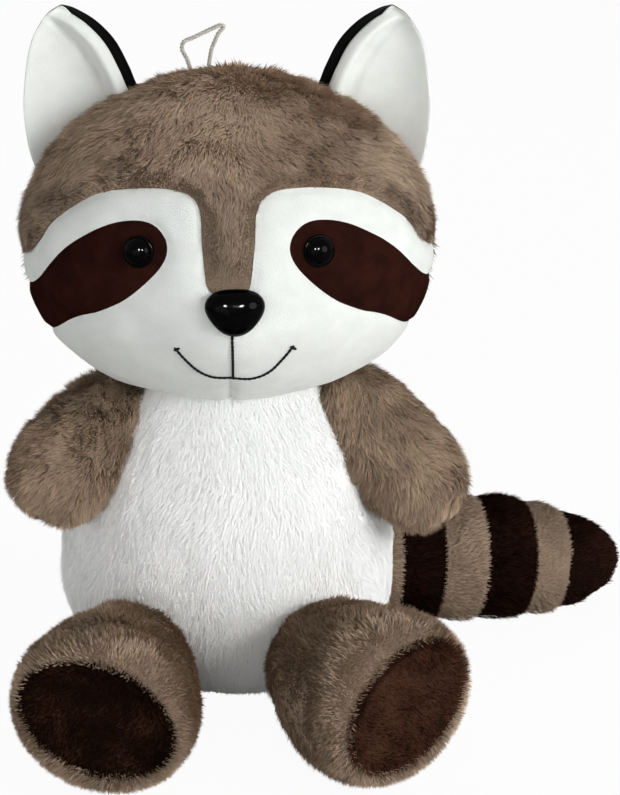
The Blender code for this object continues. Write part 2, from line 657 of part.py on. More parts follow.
def build_leg(name, side, path, roll, around_body):
    """The two side panels of a leg, its sole and its stuffing."""
    start, _, end = path
    along = bend(path, 1)[1]
    level = Vector((-along.y, along.x, 0)).normalized()
    if level.x * side < 0:
        level = -level
    broad = level * math.cos(roll) + Vector((0, 0, 1)) * math.sin(roll)
    leg = swept_mesh("leg_" + name, path, leg_sections(), broad, LEG_SIDES, tip=end - along * SOLE_DISH)
    inner = cutter("leg_inside_" + name, grown(leg, -PANEL))
    across = (broad - along * broad.dot(along)).normalized()
    up = along.cross(across)

    def sole_area(label, distance):
        angles = [2 * math.pi * k / (2 * LEG_SIDES) for k in range(2 * LEG_SIDES)]
        oval = [((SOLE_BROAD + distance) * math.cos(a), (SOLE_THIN + distance) * math.sin(a)) for a in angles]
        reach = 3 * (PANEL + SOLE_DISH)
        return cutter(label, prism_mesh(label, oval,
                                        lambda p, out: end + across * p[0] + up * p[1] + along * out, reach))

    hole = sole_area("sole_hole_" + name, SOLE_TURN + GAP)
    outward = Vector((-(end - start).y, (end - start).x, 0)) * side
    if outward.x * side < 0:
        outward = -outward
    outer_half, inner_half = plane_pair("leg_seam_" + name, (start + end) / 2, outward)
    piece("leg_outer_" + name, leg, (BROWN, 0.9), keep=[outer_half], remove=[inner, hole, around_body])
    piece("leg_inner_" + name, leg, (BROWN, 0.9), keep=[inner_half], remove=[inner, hole, around_body])
    piece("sole_" + name, leg, (DARK, 0.85), keep=[sole_area("sole_area_" + name, SOLE_TURN)], remove=[inner])
    piece("leg_filling_" + name, grown(leg, -PANEL - GAP), (STUFFING, 0.95), remove=[around_body])


def build_tail(around_body):
    """The bands of the tail, root first, and its stuffing."""
    tail = swept_mesh("tail", TAIL, tail_sections(), Vector((0, 0, 1)), TAIL_SIDES)
    inner = cutter("tail_inside", grown(tail, -PANEL))
    start = None
    for name, share in BAND_SEAMS:
        keep = [start] if start else []
        if share < 1:
            point, along = bend(TAIL, share)
            start, behind = plane_pair(name + "_seam", point, along)
            keep.append(behind)
        colour = TAIL_DARK if "dark" in name or "tip" in name else BROWN
        piece(name, tail, (colour, 0.9), keep=keep, remove=[inner, around_body])
    piece("tail_filling", grown(tail, -PANEL - GAP), (STUFFING, 0.95), remove=[around_body])


def build():
    for old in list(bpy.data.objects):
        bpy.data.objects.remove(old)
    head, body = head_mesh(), body_mesh()
    around_head = cutter("around_head", grown(head, GAP))
    around_body = cutter("around_body", grown(body, GAP))
    build_head(head)
    build_ears(around_head)
    build_loop()
    build_body(body, around_head)
    build_arm("left", ARM_LEFT, around_head, around_body)
    build_arm("right", ARM_RIGHT, around_head, around_body)
    build_leg("left", -1, LEG_LEFT, LEG_ROLL_LEFT, around_body)
    build_leg("right", 1, LEG_RIGHT, LEG_ROLL_RIGHT, around_body)
    build_tail(around_body)


build()
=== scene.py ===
"""The seated plush raccoon over its packed solids: skins, pile, velvet, eyes, nose, thread and loop.

Metres, +Z up, the toy looks along -Y. Left and right are as seen from its front.
"""
import math
from functools import cache

import bmesh
import bpy
import numpy as np
from bpy.props import FloatProperty, FloatVectorProperty, IntProperty, PointerProperty
from bpy.types import Operator, Panel, PropertyGroup
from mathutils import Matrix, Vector, noise
from mathutils.bvhtree import BVHTree


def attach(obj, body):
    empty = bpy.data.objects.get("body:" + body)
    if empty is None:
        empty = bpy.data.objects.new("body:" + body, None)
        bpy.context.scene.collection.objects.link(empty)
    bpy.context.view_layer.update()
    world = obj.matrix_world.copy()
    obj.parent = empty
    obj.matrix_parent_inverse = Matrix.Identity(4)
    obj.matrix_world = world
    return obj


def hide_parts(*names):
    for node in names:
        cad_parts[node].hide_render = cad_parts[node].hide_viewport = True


bl_info = {
    "name": "Plush raccoon",
    "version": (1, 0, 0),
    "blender": (4, 5, 0),
    "location": "View3D > Sidebar > Plush raccoon",
    "description": "Dresses the solids of a seated plush raccoon in cloth, pile and thread",
    "category": "Object",
}

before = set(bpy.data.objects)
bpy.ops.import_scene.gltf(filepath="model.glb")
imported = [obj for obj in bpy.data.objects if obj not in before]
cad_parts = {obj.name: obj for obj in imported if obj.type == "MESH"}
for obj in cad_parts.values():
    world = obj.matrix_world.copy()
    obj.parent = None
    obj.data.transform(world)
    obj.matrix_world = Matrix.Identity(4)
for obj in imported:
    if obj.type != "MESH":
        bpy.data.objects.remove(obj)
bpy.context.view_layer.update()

# Seams of the face, seen from the front: distance outwards from its centre line, and height
CROWN_SEAM = ((0.118, 0.209), (0.096, 0.231), (0.084, 0.249), (0.066, 0.263), (0.048, 0.2685),
              (0.030, 0.270), (0.019, 0.268), (0.0135, 0.261), (0.0125, 0.245), (0.0105, 0.226))
BLAZE_END_Z = 0.217
PATCH_SEAM = ((0.112, 0.196), (0.097, 0.213), (0.079, 0.237), (0.061, 0.250), (0.046, 0.255),
              (0.035, 0.2535), (0.0290, 0.245), (0.0325, 0.234), (0.048, 0.218), (0.062, 0.209),
              (0.078, 0.200), (0.100, 0.174))

# Plane of the seam between crown and back of the head, how far the face stays clear of it, and how far its
# two halves overlap
EAR_SEAM_Y, FACE_CLEAR, FACE_OVERLAP = 0.002, 0.0002, 0.00001

# Mouth, seen from the front: places and heights along its threads
MOUTH = (((0.0046, 0.2047), (0.0047, 0.191), (0.0045, 0.1781)),
         ((-0.0216, 0.1950), (-0.0175, 0.1896), (-0.0120, 0.1832), (-0.0050, 0.1789), (0.0045, 0.1780),
          (0.0139, 0.1779), (0.0215, 0.1812), (0.0282, 0.1887), (0.0325, 0.1946)),
         ((-0.0217, 0.1950), (-0.0209, 0.1955)),
         ((0.0326, 0.1946), (0.0334, 0.1941)))

# Edges of an ear from its base to its tip, outwards from the head's centre, and height
EAR_OUTER = ((0.080, 0.246), (0.094, 0.264), (0.0985, 0.288), (0.0975, 0.309), (0.094, 0.326),
             (0.087, 0.338), (0.0815, 0.342))
EAR_INNER = ((0.034, 0.292), (0.043, 0.303), (0.0475, 0.3135), (0.054, 0.326), (0.063, 0.3355),
             (0.073, 0.3415), (0.0785, 0.343))

# Line of the hanging loop, and side view of the seam between belly and back
LOOP_ROUTE = ((-0.0170, 0.002, 0.3107), (-0.0185, 0.002, 0.3155), (-0.0208, 0.001, 0.3205),
              (-0.0198, 0.000, 0.3245), (-0.0150, 0.001, 0.3265), (-0.0085, 0.002, 0.3295),
              (-0.0030, 0.002, 0.3320), (-0.0008, 0.003, 0.3312), (-0.0035, 0.003, 0.3275),
              (-0.0065, 0.003, 0.3205), (-0.0075, 0.003, 0.3155), (-0.0080, 0.002, 0.3119))
BELLY_SEAM = ((-0.036, -0.010), (-0.034, 0.004), (-0.022, 0.018), (-0.004, 0.040), (0.003, 0.070),
              (0.004, 0.110), (0.000, 0.180))

# Middle lines of the limbs and tail, from inside the body to their ends
PATHS = {
    "arm_left": ((-0.036, -0.010, 0.147), (-0.066, -0.030, 0.142), (-0.094, -0.052, 0.102)),
    "arm_right": ((0.045, -0.008, 0.153), (0.074, -0.020, 0.140), (0.108, -0.036, 0.093)),
    "leg_left": ((-0.040, -0.012, 0.028), (-0.049, -0.095, 0.032), (-0.0575, -0.164, 0.0405)),
    "leg_right": ((0.040, -0.012, 0.028), (0.046, -0.095, 0.033), (0.0865, -0.153, 0.0430)),
    "tail": ((0.030, 0.060, 0.034), (0.110, 0.068, 0.035), (0.206, 0.098, 0.0195)),
}
TAIL_SEAMS = (0.0, 0.325, 0.45, 0.575, 0.715, 0.82, 1.02)
SIDES = ((-1, "left"), (1, "right"))

# Brown of the fur, deep down and at its ends
FUR_DEEP = (0.49, 0.415, 0.345)
FUR_ENDS = (0.70, 0.615, 0.53)

# Each coat of pile: number of strands, their length and width, how steeply they stand, how far they lean
# together into tufts, and their colours at the root and at the tip
COAT_VALUES = {
    "crown": ("Brown fur over the top of the head", 76000, 0.0068, 0.00046, 0.76, 0.34,
              (0.53, 0.455, 0.385), (0.80, 0.71, 0.62)),
    "nape": ("Brown fur over the back of the head", 26000, 0.0078, 0.00080, 0.50, 0.30, FUR_DEEP, FUR_ENDS),
    "arm": ("Brown fur of one arm", 42000, 0.0070, 0.00046, 0.80, 0.50,
            (0.47, 0.395, 0.325), (0.70, 0.61, 0.52)),
    "leg": ("Brown fur of one leg", 44000, 0.0066, 0.00050, 0.70, 0.24,
            (0.51, 0.435, 0.365), (0.75, 0.66, 0.57)),
    "belly": ("White fur of the belly", 58000, 0.0056, 0.00040, 0.34, 0.05,
              (0.993, 0.995, 0.99), (0.997, 0.999, 0.995)),
    "back": ("Brown fur of the back", 21000, 0.0078, 0.00082, 0.50, 0.30, FUR_DEEP, FUR_ENDS),
    "tail_light": ("Brown bands of the tail", 20000, 0.0058, 0.00052, 0.50, 0.25, FUR_DEEP, FUR_ENDS),
    "tail_dark": ("Dark bands of the tail", 26000, 0.0058, 0.00052, 0.50, 0.25,
                  (0.055, 0.03, 0.02), (0.145, 0.082, 0.06)),
    "sole": ("Short dark pile of one sole", 10000, 0.0028, 0.00054, 0.60, 0.30,
             (0.045, 0.022, 0.013), (0.27, 0.175, 0.13)),
}

# Darkest part of a colour above which its cloth counts as white
PALE = 0.9

# Steps of the closed forms, down or along them and around them; those in a foot's rounding, over a dome
# and around a bead
HEAD_STEPS, FACE_STEPS, FUR_STEPS = (76, 132), (150, 260), (84, 140)
BODY_STEPS, ARM_STEPS, LEG_STEPS, TAIL_STEPS = (64, 96), (70, 44), (64, 56), (90, 44)
SOLE_STEPS, EAR_STEPS = (26, 72), (49, 30)
FOOT_STEPS, DOME_STEPS, BEAD_STEPS = 20, 18, 64

# Camera: its distance, the height that it sees, its rise above the level, its target and its film
CAMERA_FAR = 1.6
SEEN_TALL = 0.0005 * 795
CAMERA_RISE = math.radians(18)
CAMERA_TARGET = (0.041, 0, 0.144)
FILM = 24

# Lamps: place, diameter and power; the glints light only what is glossy
LAMPS = {"key": ((1.35, -1.10, 0.75), 1.0, 26.0), "fill": ((-0.7, -1.5, 0.12), 1.4, 7.6),
         "rim": ((0.2, 1.3, 1.3), 1.2, 5.0), "glint left": ((-0.24, -1.4, 0.85), 0.22, 60.0),
         "glint right": ((0.34, -1.4, 0.85), 0.22, 60.0)}
LAMP_TARGET = (0, 0, 0.15)

# Light from the surroundings at the level, how much less of it comes from above, and the floor:
# half its width, its points along a side, its level, and how white the camera sees it
AIR_LEVEL, AIR_LESS = 0.65, 0.42
FLOOR_HALF, FLOOR_STEPS, FLOOR_LEVEL, FLOOR_WHITE = 6, 13, -0.0002, 0.95

# Pile: distance between tufts, over how much lean strands meet in one, and its lowest level
TUFT, TUFT_LEAN, PILE_LEVEL = 0.0055, 0.009, 0.0004

# How far single strands differ in length, width and shade, the least and the largest shade, and the
# patches a metre in which the pile drifts, swirls and changes its shade
LENGTHS, WIDTHS, SHADES, SHADE_ENDS = (0.72, 1.12), (0.7, 1.15), (-0.38, 0.38), (0.01, 0.98)
DRIFT_PATCHES, SWIRL_PATCHES, SHADE_PATCHES = 105.0, 24.0, 62.0

# How far drift moves the tufts, and the middle of what noise gives as a colour
TUFT_DRIFT, HALF = 0.006, (0.5, 0.5, 0.5)

# Stitches: how far each overlaps the next; cord: its points along the line, and a ply's share across it
STITCH_OVERLAP, CORD_STEP, PLY = 1.30, 0.0004, 0.25

# Unevenness of padded cloth: height of the swellings, patches a metre, and where their pattern starts;
# how far the face lies below its outline, and the belly's cloth above it
BELLY_SWELLS = ((0.0011, 26, 4), (0.0005, 70, 2))
FACE_SWELLS = ((0.0010, 34, 9), (0.0003, 110, 5))
FACE_SUNK, BELLY_RISE = 0.0003, 0.0018

# Drawn-in seams: half width of the groove and reach of the folds beside it, over the face and under the
# chin; where the chin's seam begins and ends; their shares of the full depth; the dents round eye and nose
SEAM_HALF, FOLD_REACH = 0.0022, 0.008
CHIN_HALF, CHIN_FOLD_REACH, CHIN_REACH = 0.0016, 0.006, 0.012
CHIN_UNDER_SNOUT, CHIN_LOW, MUZZLE_HALF = 0.026, 0.152, 0.010
CHIN_SHARE, CHIN_FOLD_SHARE, FOLD_SHARE = 0.6, 0.5, 0.45
EYE_DENT, EYE_DENT_REACH = 0.0012, 0.011
NOSE_DENT, NOSE_DENT_REACH = 0.0010, 0.014

# Crown: half width of the stripe and its fade upwards, over how much the pile grows and stands up beside
# the seam, and where it lengthens at the sides and changes its shade
STRIPE_HALF, STRIPE_FADE, RIM_GROWN, RIM_STANDING = 0.02, 0.055, 0.013, 0.011
ASIDE_FROM, ASIDE_FADE, FRINGE = 0.074, 0.02, 1.15
PALE_HALF, PALE_FROM, PALE_FADE, DARK_UNDER, DARK_FADE = 0.045, 0.275, 0.02, 0.237, 0.045

# Folds of an ear: height, distance from its bare strip and half width; and the gap between its layers
EAR_FOLDS = ((0.0028, 0.0108, 0.0020), (-0.0050, 0.0052, 0.0040))
EAR_GAP = 0.0003

# Feet: where along a leg its pile starts to stand and over how much of it, the same across a sole, how far
# the sole's cloth lies under its pile, and half the width of its drawn-in edge
FOOT_BEFORE, FOOT_FADE, BRIM_FROM, BRIM_FADE = 0.06, 0.14, 0.78, 0.22
SOLE_SUNK, SOLE_PUCKER_HALF = 0.0005, 0.05

# Tail: its length, the dip at its seams and half its width, how far its cloth lies under the outline,
# over how much the pile grows to its full length beside a seam, where the tip turns browner, and the last
# ring before it
TAIL_LENGTH, TAIL_DIP, TAIL_DIP_HALF, TAIL_UNDER = 0.19, 0.0008, 0.005, 0.0011
TAIL_GROWN, TAIL_TIP, TAIL_TIP_REACH, TAIL_LAST = 0.008, 0.86, 0.12, 0.985

# Depth from which a point counts as buried, rise of the thread over the face, a place far outside the toy
BURIED, THREAD_RISE, FAR_OUT = 0.001, 0.00032, 0.4


def size(name, value, meaning):
    return FloatProperty(name=name, description=meaning, default=value, unit="LENGTH", precision=5)


def share(name, value, meaning):
    return FloatProperty(name=name, description=meaning, default=value, precision=3)


def colour(name, value, meaning):
    return FloatVectorProperty(name=name, description=meaning, default=value, min=0, max=1, size=3,
                               subtype="COLOR_GAMMA")


def place(name, value, meaning):
    return FloatVectorProperty(name=name, description=meaning, default=value, size=3, unit="LENGTH",
                               precision=5)


class HeadSizes(PropertyGroup):
    """The rounded head, its snout, eyes and nose."""
    centre: place("Centre", (0.001, -0.008, 0.227), "Middle of the head at its widest level")
    half_width: size("Half width", 0.1005, "From the middle to a cheek")
    front: size("Front", 0.078, "From the middle to the face")
    back: size("Back", 0.074, "From the middle to the back of the head")
    up: size("Up", 0.0855, "From the widest level to the top")
    down: size("Down", 0.075, "From the widest level to the chin")
    jowl: share("Jowl", 2.3, "How square the lower half is, 2 being round")
    face_x: size("Face line", 0.003, "Place of the face's centre line")
    snout_rise: size("Snout rise", 0.007, "How far the snout stands out")
    snout_width: size("Snout half width", 0.028, "Reach of the snout to each side")
    snout_height: size("Snout half height", 0.026, "Reach of the snout up and down")
    snout_z: size("Snout level", 0.205, "Height of the snout's middle")
    eye_out: size("Eye distance", 0.0424, "From the face's centre line to an eye")
    eye_z: size("Eye level", 0.241, "Height of the eyes")
    eye_radius: size("Eye radius", 0.0075, "Radius of an eye")
    eye_dome: size("Eye dome", 0.0056, "Height of an eye above the pile")
    nose_x: size("Nose place", 0.0060, "Place of the nose across the face")
    nose_z: size("Nose level", 0.216, "Height of the nose")
    nose_width: size("Nose half width", 0.0136, "Half width of the nose")
    nose_height: size("Nose half height", 0.0115, "Half height of the nose")
    nose_dome: size("Nose dome", 0.0085, "Height of the nose above the pile")
    thread: size("Thread", 0.0015, "Thickness of the mouth's thread")


class BodySizes(PropertyGroup):
    """The seated body."""
    centre: place("Centre", (-0.001, 0.0, 0.060), "Middle of the body at its widest level")
    half_width: size("Half width", 0.081, "From the middle to a side")
    front: size("Front", 0.072, "From the middle to the belly")
    back: size("Back", 0.066, "From the middle to the back")
    up: size("Up", 0.122, "From the widest level to the top")
    down: size("Down", 0.0625, "From the widest level down")
    seat: share("Seat", 2.4, "How square the lower half is, 2 being round")


class LimbSizes(PropertyGroup):
    """Arms, legs, tail, ears and loop."""
    arm_broad: size("Arm half width", 0.0275, "Half width across an arm")
    arm_thin: size("Arm half depth", 0.0235, "Half width of an arm from front to back")
    arm_shoulder: share("Shoulder", 0.86, "Size at the shoulder as a share of the paw's")
    arm_round: share("Arm roundness", 2.7, "How blunt an arm's ends are, 2 being round")
    leg_hip: size("Hip", 0.022, "Half width of a leg at the hip")
    foot_broad: size("Foot half length", 0.0435, "Half width of a foot along its sole")
    foot_thin: size("Foot half width", 0.0385, "Half width of a foot across its sole")
    sole_broad: size("Sole half length", 0.0365, "Half length of a sole")
    sole_thin: size("Sole half width", 0.0242, "Half width of a sole")
    sole_dish: size("Sole hollow", 0.0025, "Depth of the sole's hollow")
    sole_rim: share("Foot rounding", 0.84, "Share of a leg at which the foot rounds in")
    roll_left: FloatProperty(name="Left roll", description="Turn of the left sole above the level",
                             default=math.radians(21), subtype="ANGLE")
    roll_right: FloatProperty(name="Right roll", description="Turn of the right sole above the level",
                              default=math.radians(32), subtype="ANGLE")
    tail_root: size("Tail root", 0.023, "Radius of the tail at the body")
    tail_radius: size("Tail radius", 0.0335, "Largest radius of the tail")
    tail_fullest: share("Tail fullest", 0.42, "Share of the tail at which it is fullest")
    tail_slim: share("Tail slimming", 3.0, "How late the tail slims towards its tip")
    tail_blunt: share("Tail bluntness", 0.50, "How blunt the tail's tip is, 1 being pointed")
    ear_strip: size("Ear strip", 0.0052, "How far an ear's black back shows at its inner edge")
    ear_y: size("Ear plane", -0.006, "Plane of the ears' edges")
    ear_cup: size("Ear hollow", 0.011, "Depth of an ear between its edges")
    ear_sheet: size("Ear cloth", 0.0022, "Thickness of one layer of an ear")
    loop: size("Loop cord", 0.0023, "Diameter of the hanging loop's cord")


class Colours(PropertyGroup):
    """Colours as they are seen."""
    white: colour("White velvet", (0.875, 0.888, 0.872), "Face and ears")
    patch: colour("Eye patches", (0.205, 0.100, 0.078), "Velvet round the eyes")
    black: colour("Black velvet", (0.035, 0.033, 0.035), "Backs of the ears")
    plastic: colour("Black plastic", (0.006, 0.006, 0.007), "Eyes and nose")
    thread: colour("Thread", (0.018, 0.018, 0.02), "Mouth")
    cord: colour("Cord", (0.83, 0.82, 0.78), "Hanging loop")
    stuffing: colour("Stuffing", (0.92, 0.92, 0.90), "Fibre inside")
    washer: colour("Washers", (0.85, 0.85, 0.83), "Plastic behind eyes and nose")
    floor: colour("Floor", (0.93, 0.93, 0.93), "Floor under the toy")


def coat(key, meaning, strands, length, width, lift, clump, root, tip):
    """A group with the settings of one coat of pile."""
    fields = {
        "strands": IntProperty(name="Strands", description="Strands in the coat", default=strands, min=0),
        "length": size("Length", length, "Length of a strand"),
        "width": size("Width", width, "Width of a strand at its root"),
        "lift": share("Lift", lift, "How steeply the strands stand up from the cloth"),
        "clump": share("Clump", clump, "How far strands lean together into tufts"),
        "root": colour("Root", root, "Colour deep in the pile"),
        "tip": colour("Tip", tip, "Colour at the ends of the strands"),
    }
    return type(key.title().replace("_", "") + "Coat", (PropertyGroup,),
                {"__doc__": meaning, "__annotations__": fields})


COATS = {key: coat(key, *values) for key, values in COAT_VALUES.items()}


class PlushSettings(PropertyGroup):
    """Everything that a user of the plush raccoon may change."""
    head: PointerProperty(type=HeadSizes, name="Head", description="Sizes of the head")
    body: PointerProperty(type=BodySizes, name="Body", description="Sizes of the body")
    limbs: PointerProperty(type=LimbSizes, name="Limbs", description="Sizes of limbs, tail and ears")
    colours: PointerProperty(type=Colours, name="Colours", description="Colours of the smooth pieces")
    under: size("Under the pile", 0.0020, "How far the cloth lies under the outline of the furry solids")
    pucker: size("Pucker", 0.0013, "How deep a sewn seam draws the cloth in")
    seed: IntProperty(name="Seed", description="Start of all that is random", default=7)


for key, kind in COATS.items():
    PlushSettings.__annotations__[key] = PointerProperty(type=kind, name=kind.__doc__,
                                                         description=kind.__doc__)


def settings():
    return bpy.context.scene.plush_raccoon


def linear(seen):
    """The colour that a material takes for one given as it is seen."""
    return [((c + 0.055) / 1.055) ** 2.4 if c > 0.04045 else c / 12.92 for c in seen] + [1.0]


def dimmed(tone, left):
    """A colour with a share of its brightness left."""
    return [c * left for c in tone]


# Node trees

class Link:
    """A value in a node tree; plain arithmetic on it adds the nodes for it."""

    def __init__(self, tree, socket):
        self.tree = tree
        self.socket = socket

    def other(self, name):
        """Another output of the same node."""
        return Link(self.tree, pick(self.socket.node.outputs, name))

    def joined(self, operation, first, second):
        vectors = [is_vector(first), is_vector(second)]
        if not any(vectors):
            return self.tree.math(operation, first, second)
        if operation == "MULTIPLY" and not all(vectors):
            vector, scale = (first, second) if vectors[0] else (second, first)
            return self.tree.node("ShaderNodeVectorMath", {"operation": "SCALE"}, {0: vector, "Scale": scale})
        return self.tree.node("ShaderNodeVectorMath", {"operation": operation}, {0: first, 1: second})

    def __add__(self, value):
        return self.joined("ADD", self, value)

    def __sub__(self, value):
        return self.joined("SUBTRACT", self, value)

    def __rsub__(self, value):
        return self.joined("SUBTRACT", value, self)

    def __mul__(self, value):
        return self.joined("MULTIPLY", self, value)

    def __pow__(self, value):
        return self.joined("POWER", self, value)

    __radd__ = __add__
    __rmul__ = __mul__


def is_vector(value):
    if isinstance(value, Link):
        return value.socket.type in ("VECTOR", "RGBA")
    return isinstance(value, (tuple, list))


def pick(sockets, name):
    if isinstance(name, int):
        return sockets[name]
    return next(s for s in sockets if s.name == name and s.enabled)


class Tree:
    """A node tree under construction."""

    def __init__(self, nodes):
        self.tree = nodes

    def node(self, kind, choices=None, sockets=None, output=0):
        """A node of a kind: its choices are set first, then its sockets. Returns one of its outputs."""
        made = self.tree.nodes.new(kind)
        for name, value in (choices or {}).items():
            setattr(made, name, value)
        for name, value in (sockets or {}).items():
            self.put(pick(made.inputs, name), value)
        return Link(self, pick(made.outputs, output)) if made.outputs else None

    def put(self, socket, value):
        if isinstance(value, Link):
            self.tree.links.new(value.socket, socket)
        else:
            socket.default_value = value

    def math(self, operation, first, second):
        return self.node("ShaderNodeMath", {"operation": operation}, {0: first, 1: second})

    def xyz(self, x=0.0, y=0.0, z=0.0):
        """A vector from its parts."""
        return self.node("ShaderNodeCombineXYZ", None, {"X": x, "Y": y, "Z": z})

    def parts(self, vector):
        """The parts of a vector: X, and Y and Z by name."""
        return self.node("ShaderNodeSeparateXYZ", None, {"Vector": vector})

    def cloud(self, where, scale, detail, output=0):
        """Smooth noise of so many patches a metre."""
        return self.node("ShaderNodeTexNoise", None, {"Vector": where, "Scale": scale, "Detail": detail},
                         output)

    def mix(self, factor, first, second):
        """A colour between two, by a factor."""
        return self.node("ShaderNodeMix", {"data_type": "RGBA"},
                         {"Factor": factor, "A": first, "B": second}, "Result")


class Finish(Tree):
    """A material, from constants on its shader and values that change over the surface."""

    def __init__(self, name, **constants):
        self.material = bpy.data.materials.new(name)
        self.material.use_nodes = True
        super().__init__(self.material.node_tree)
        self.shader = self.tree.nodes["Principled BSDF"]
        for key, value in constants.items():
            self.shader.inputs[key.replace("_", " ").title().replace("Ior", "IOR")].default_value = value

    def surface(self, **values):
        for key, value in values.items():
            self.put(self.shader.inputs[key.replace("_", " ").title()], value)
        return self.material

    def noise(self, scale, detail):
        """Noise over the piece's own space."""
        return self.cloud(self.node("ShaderNodeTexCoord", output="Object"), scale, detail)

    def bump(self, height, distance, strength=1.0):
        return self.node("ShaderNodeBump", None,
                         {"Height": height, "Distance": distance, "Strength": strength})


def pile_finish(name, root, tip, depth):
    """Strands: dark at the root and pale at the tip; each has its own shade."""
    look = Finish(name, roughness=0.85, specular_ior_level=0.0, sheen_weight=0.6 if min(root) > PALE else 0.0,
                  sheen_roughness=0.5)
    shade = look.parts(look.node("ShaderNodeUVMap", {"uv_map": "OFBake"}))
    tone = look.mix(shade.other("Y") ** 0.8, linear(root), linear(tip))
    return look.surface(base_color=tone * (1 - depth + shade * depth * 2))


def cloth_finish(name, tone):
    """The knitted ground under a pile."""
    look = Finish(name, roughness=0.95, specular_ior_level=0.0)
    knit = look.noise(1400, 1)
    fade = look.mix(knit, linear(dimmed(tone, 1.0 if min(tone) > PALE else 0.75)), linear(tone))
    return look.surface(base_color=fade, normal=look.bump(knit, 0.0003))


def velvet_finish(name, tone, left, rise=0.00022, sheen=0.35, gloss=0.15):
    """Short smooth pile: fine grain, faint patches where the nap turns."""
    look = Finish(name, roughness=0.9, sheen_weight=sheen, sheen_roughness=0.4, specular_ior_level=gloss)
    grain = look.noise(1900, 2)
    nap = look.noise(95, 3)
    base = look.mix(0.5 + (nap - 0.5) * 1.1 + (grain - 0.5) * 0.8, linear(dimmed(tone, left)), linear(tone))
    return look.surface(base_color=base, normal=look.bump(grain + nap * 0.6, rise, 0.7))


def plastic_finish(name, tone):
    """Polished black plastic, faintly marked by handling."""
    look = Finish(name, specular_ior_level=0.03)
    marks = look.noise(420, 4)
    return look.surface(base_color=look.mix(marks, linear(dimmed(tone, 0.8)), linear(tone)),
                        roughness=0.06 + marks * 0.06, normal=look.bump(marks, 0.00002, 0.2))


def fibre_finish(name, tone, scale, roughness=0.85, rise=0.0002, sheen=0.2):
    """Thread, cord or stuffing: fine lines of fibre."""
    look = Finish(name, roughness=roughness, sheen_weight=sheen, specular_ior_level=0.1)
    lines = look.noise(scale, 3)
    return look.surface(base_color=look.mix(lines, linear(dimmed(tone, 0.72)), linear(tone)),
                        normal=look.bump(lines, rise))


# Shapes

def smooth_through(points, steps):
    """Points of a smooth curve that passes through the given ones."""
    points = np.array(points, float)
    padded = np.vstack([points[0], points, points[-1]])
    curve = []
    for a, b, c, d in zip(padded, padded[1:], padded[2:], padded[3:]):
        for t in np.arange(steps) / steps:
            curve.append((2 * b + (c - a) * t + (2 * a - 5 * b + 4 * c - d) * t ** 2
                          + (3 * b - a - 3 * c + d) * t ** 3) / 2)
    return np.array(curve + [points[-1]])


def ease(t):
    t = np.clip(t, 0, 1)
    return t * t * (3 - 2 * t)


def hill(away, half):
    """1 at a line, falling to nothing at some half widths away from it."""
    return np.exp(-(away / half) ** 2)


def turns(count):
    """Angles once around."""
    return np.linspace(0, 2 * math.pi, count, endpoint=False)


def unit(vectors):
    return vectors / np.maximum(np.linalg.norm(vectors, axis=-1, keepdims=True), 1e-9)


def bend(path, t):
    """Points and directions at shares of a path's three-point curve."""
    a, b, c = np.array(path)
    t = np.asarray(t, float)[..., None]
    return a * (1 - t) ** 2 + b * 2 * t * (1 - t) + c * t * t, unit((b - a) * (1 - t) + (c - b) * t)


def inside_by(points, outline):
    """How far flat points lie inside a closed outline, negative outside it."""
    start = np.array(outline, float)
    edge = np.roll(start, -1, axis=0) - start
    gap = points[:, None, :] - start[None]
    along = np.clip((gap * edge).sum(2) / np.maximum((edge * edge).sum(1), 1e-12), 0, 1)
    near = np.linalg.norm(gap - along[..., None] * edge, axis=2).min(axis=1)
    above = start[:, 1] > points[:, 1:2]
    crossed = above != np.roll(above, -1, axis=1)
    slope = edge[:, 0] / np.where(np.abs(edge[:, 1]) < 1e-12, 1e-12, edge[:, 1])
    crossed &= points[:, 0:1] < start[:, 0] + slope * (points[:, 1:2] - start[:, 1])
    return np.where(crossed.sum(axis=1) % 2 == 1, near, -near)


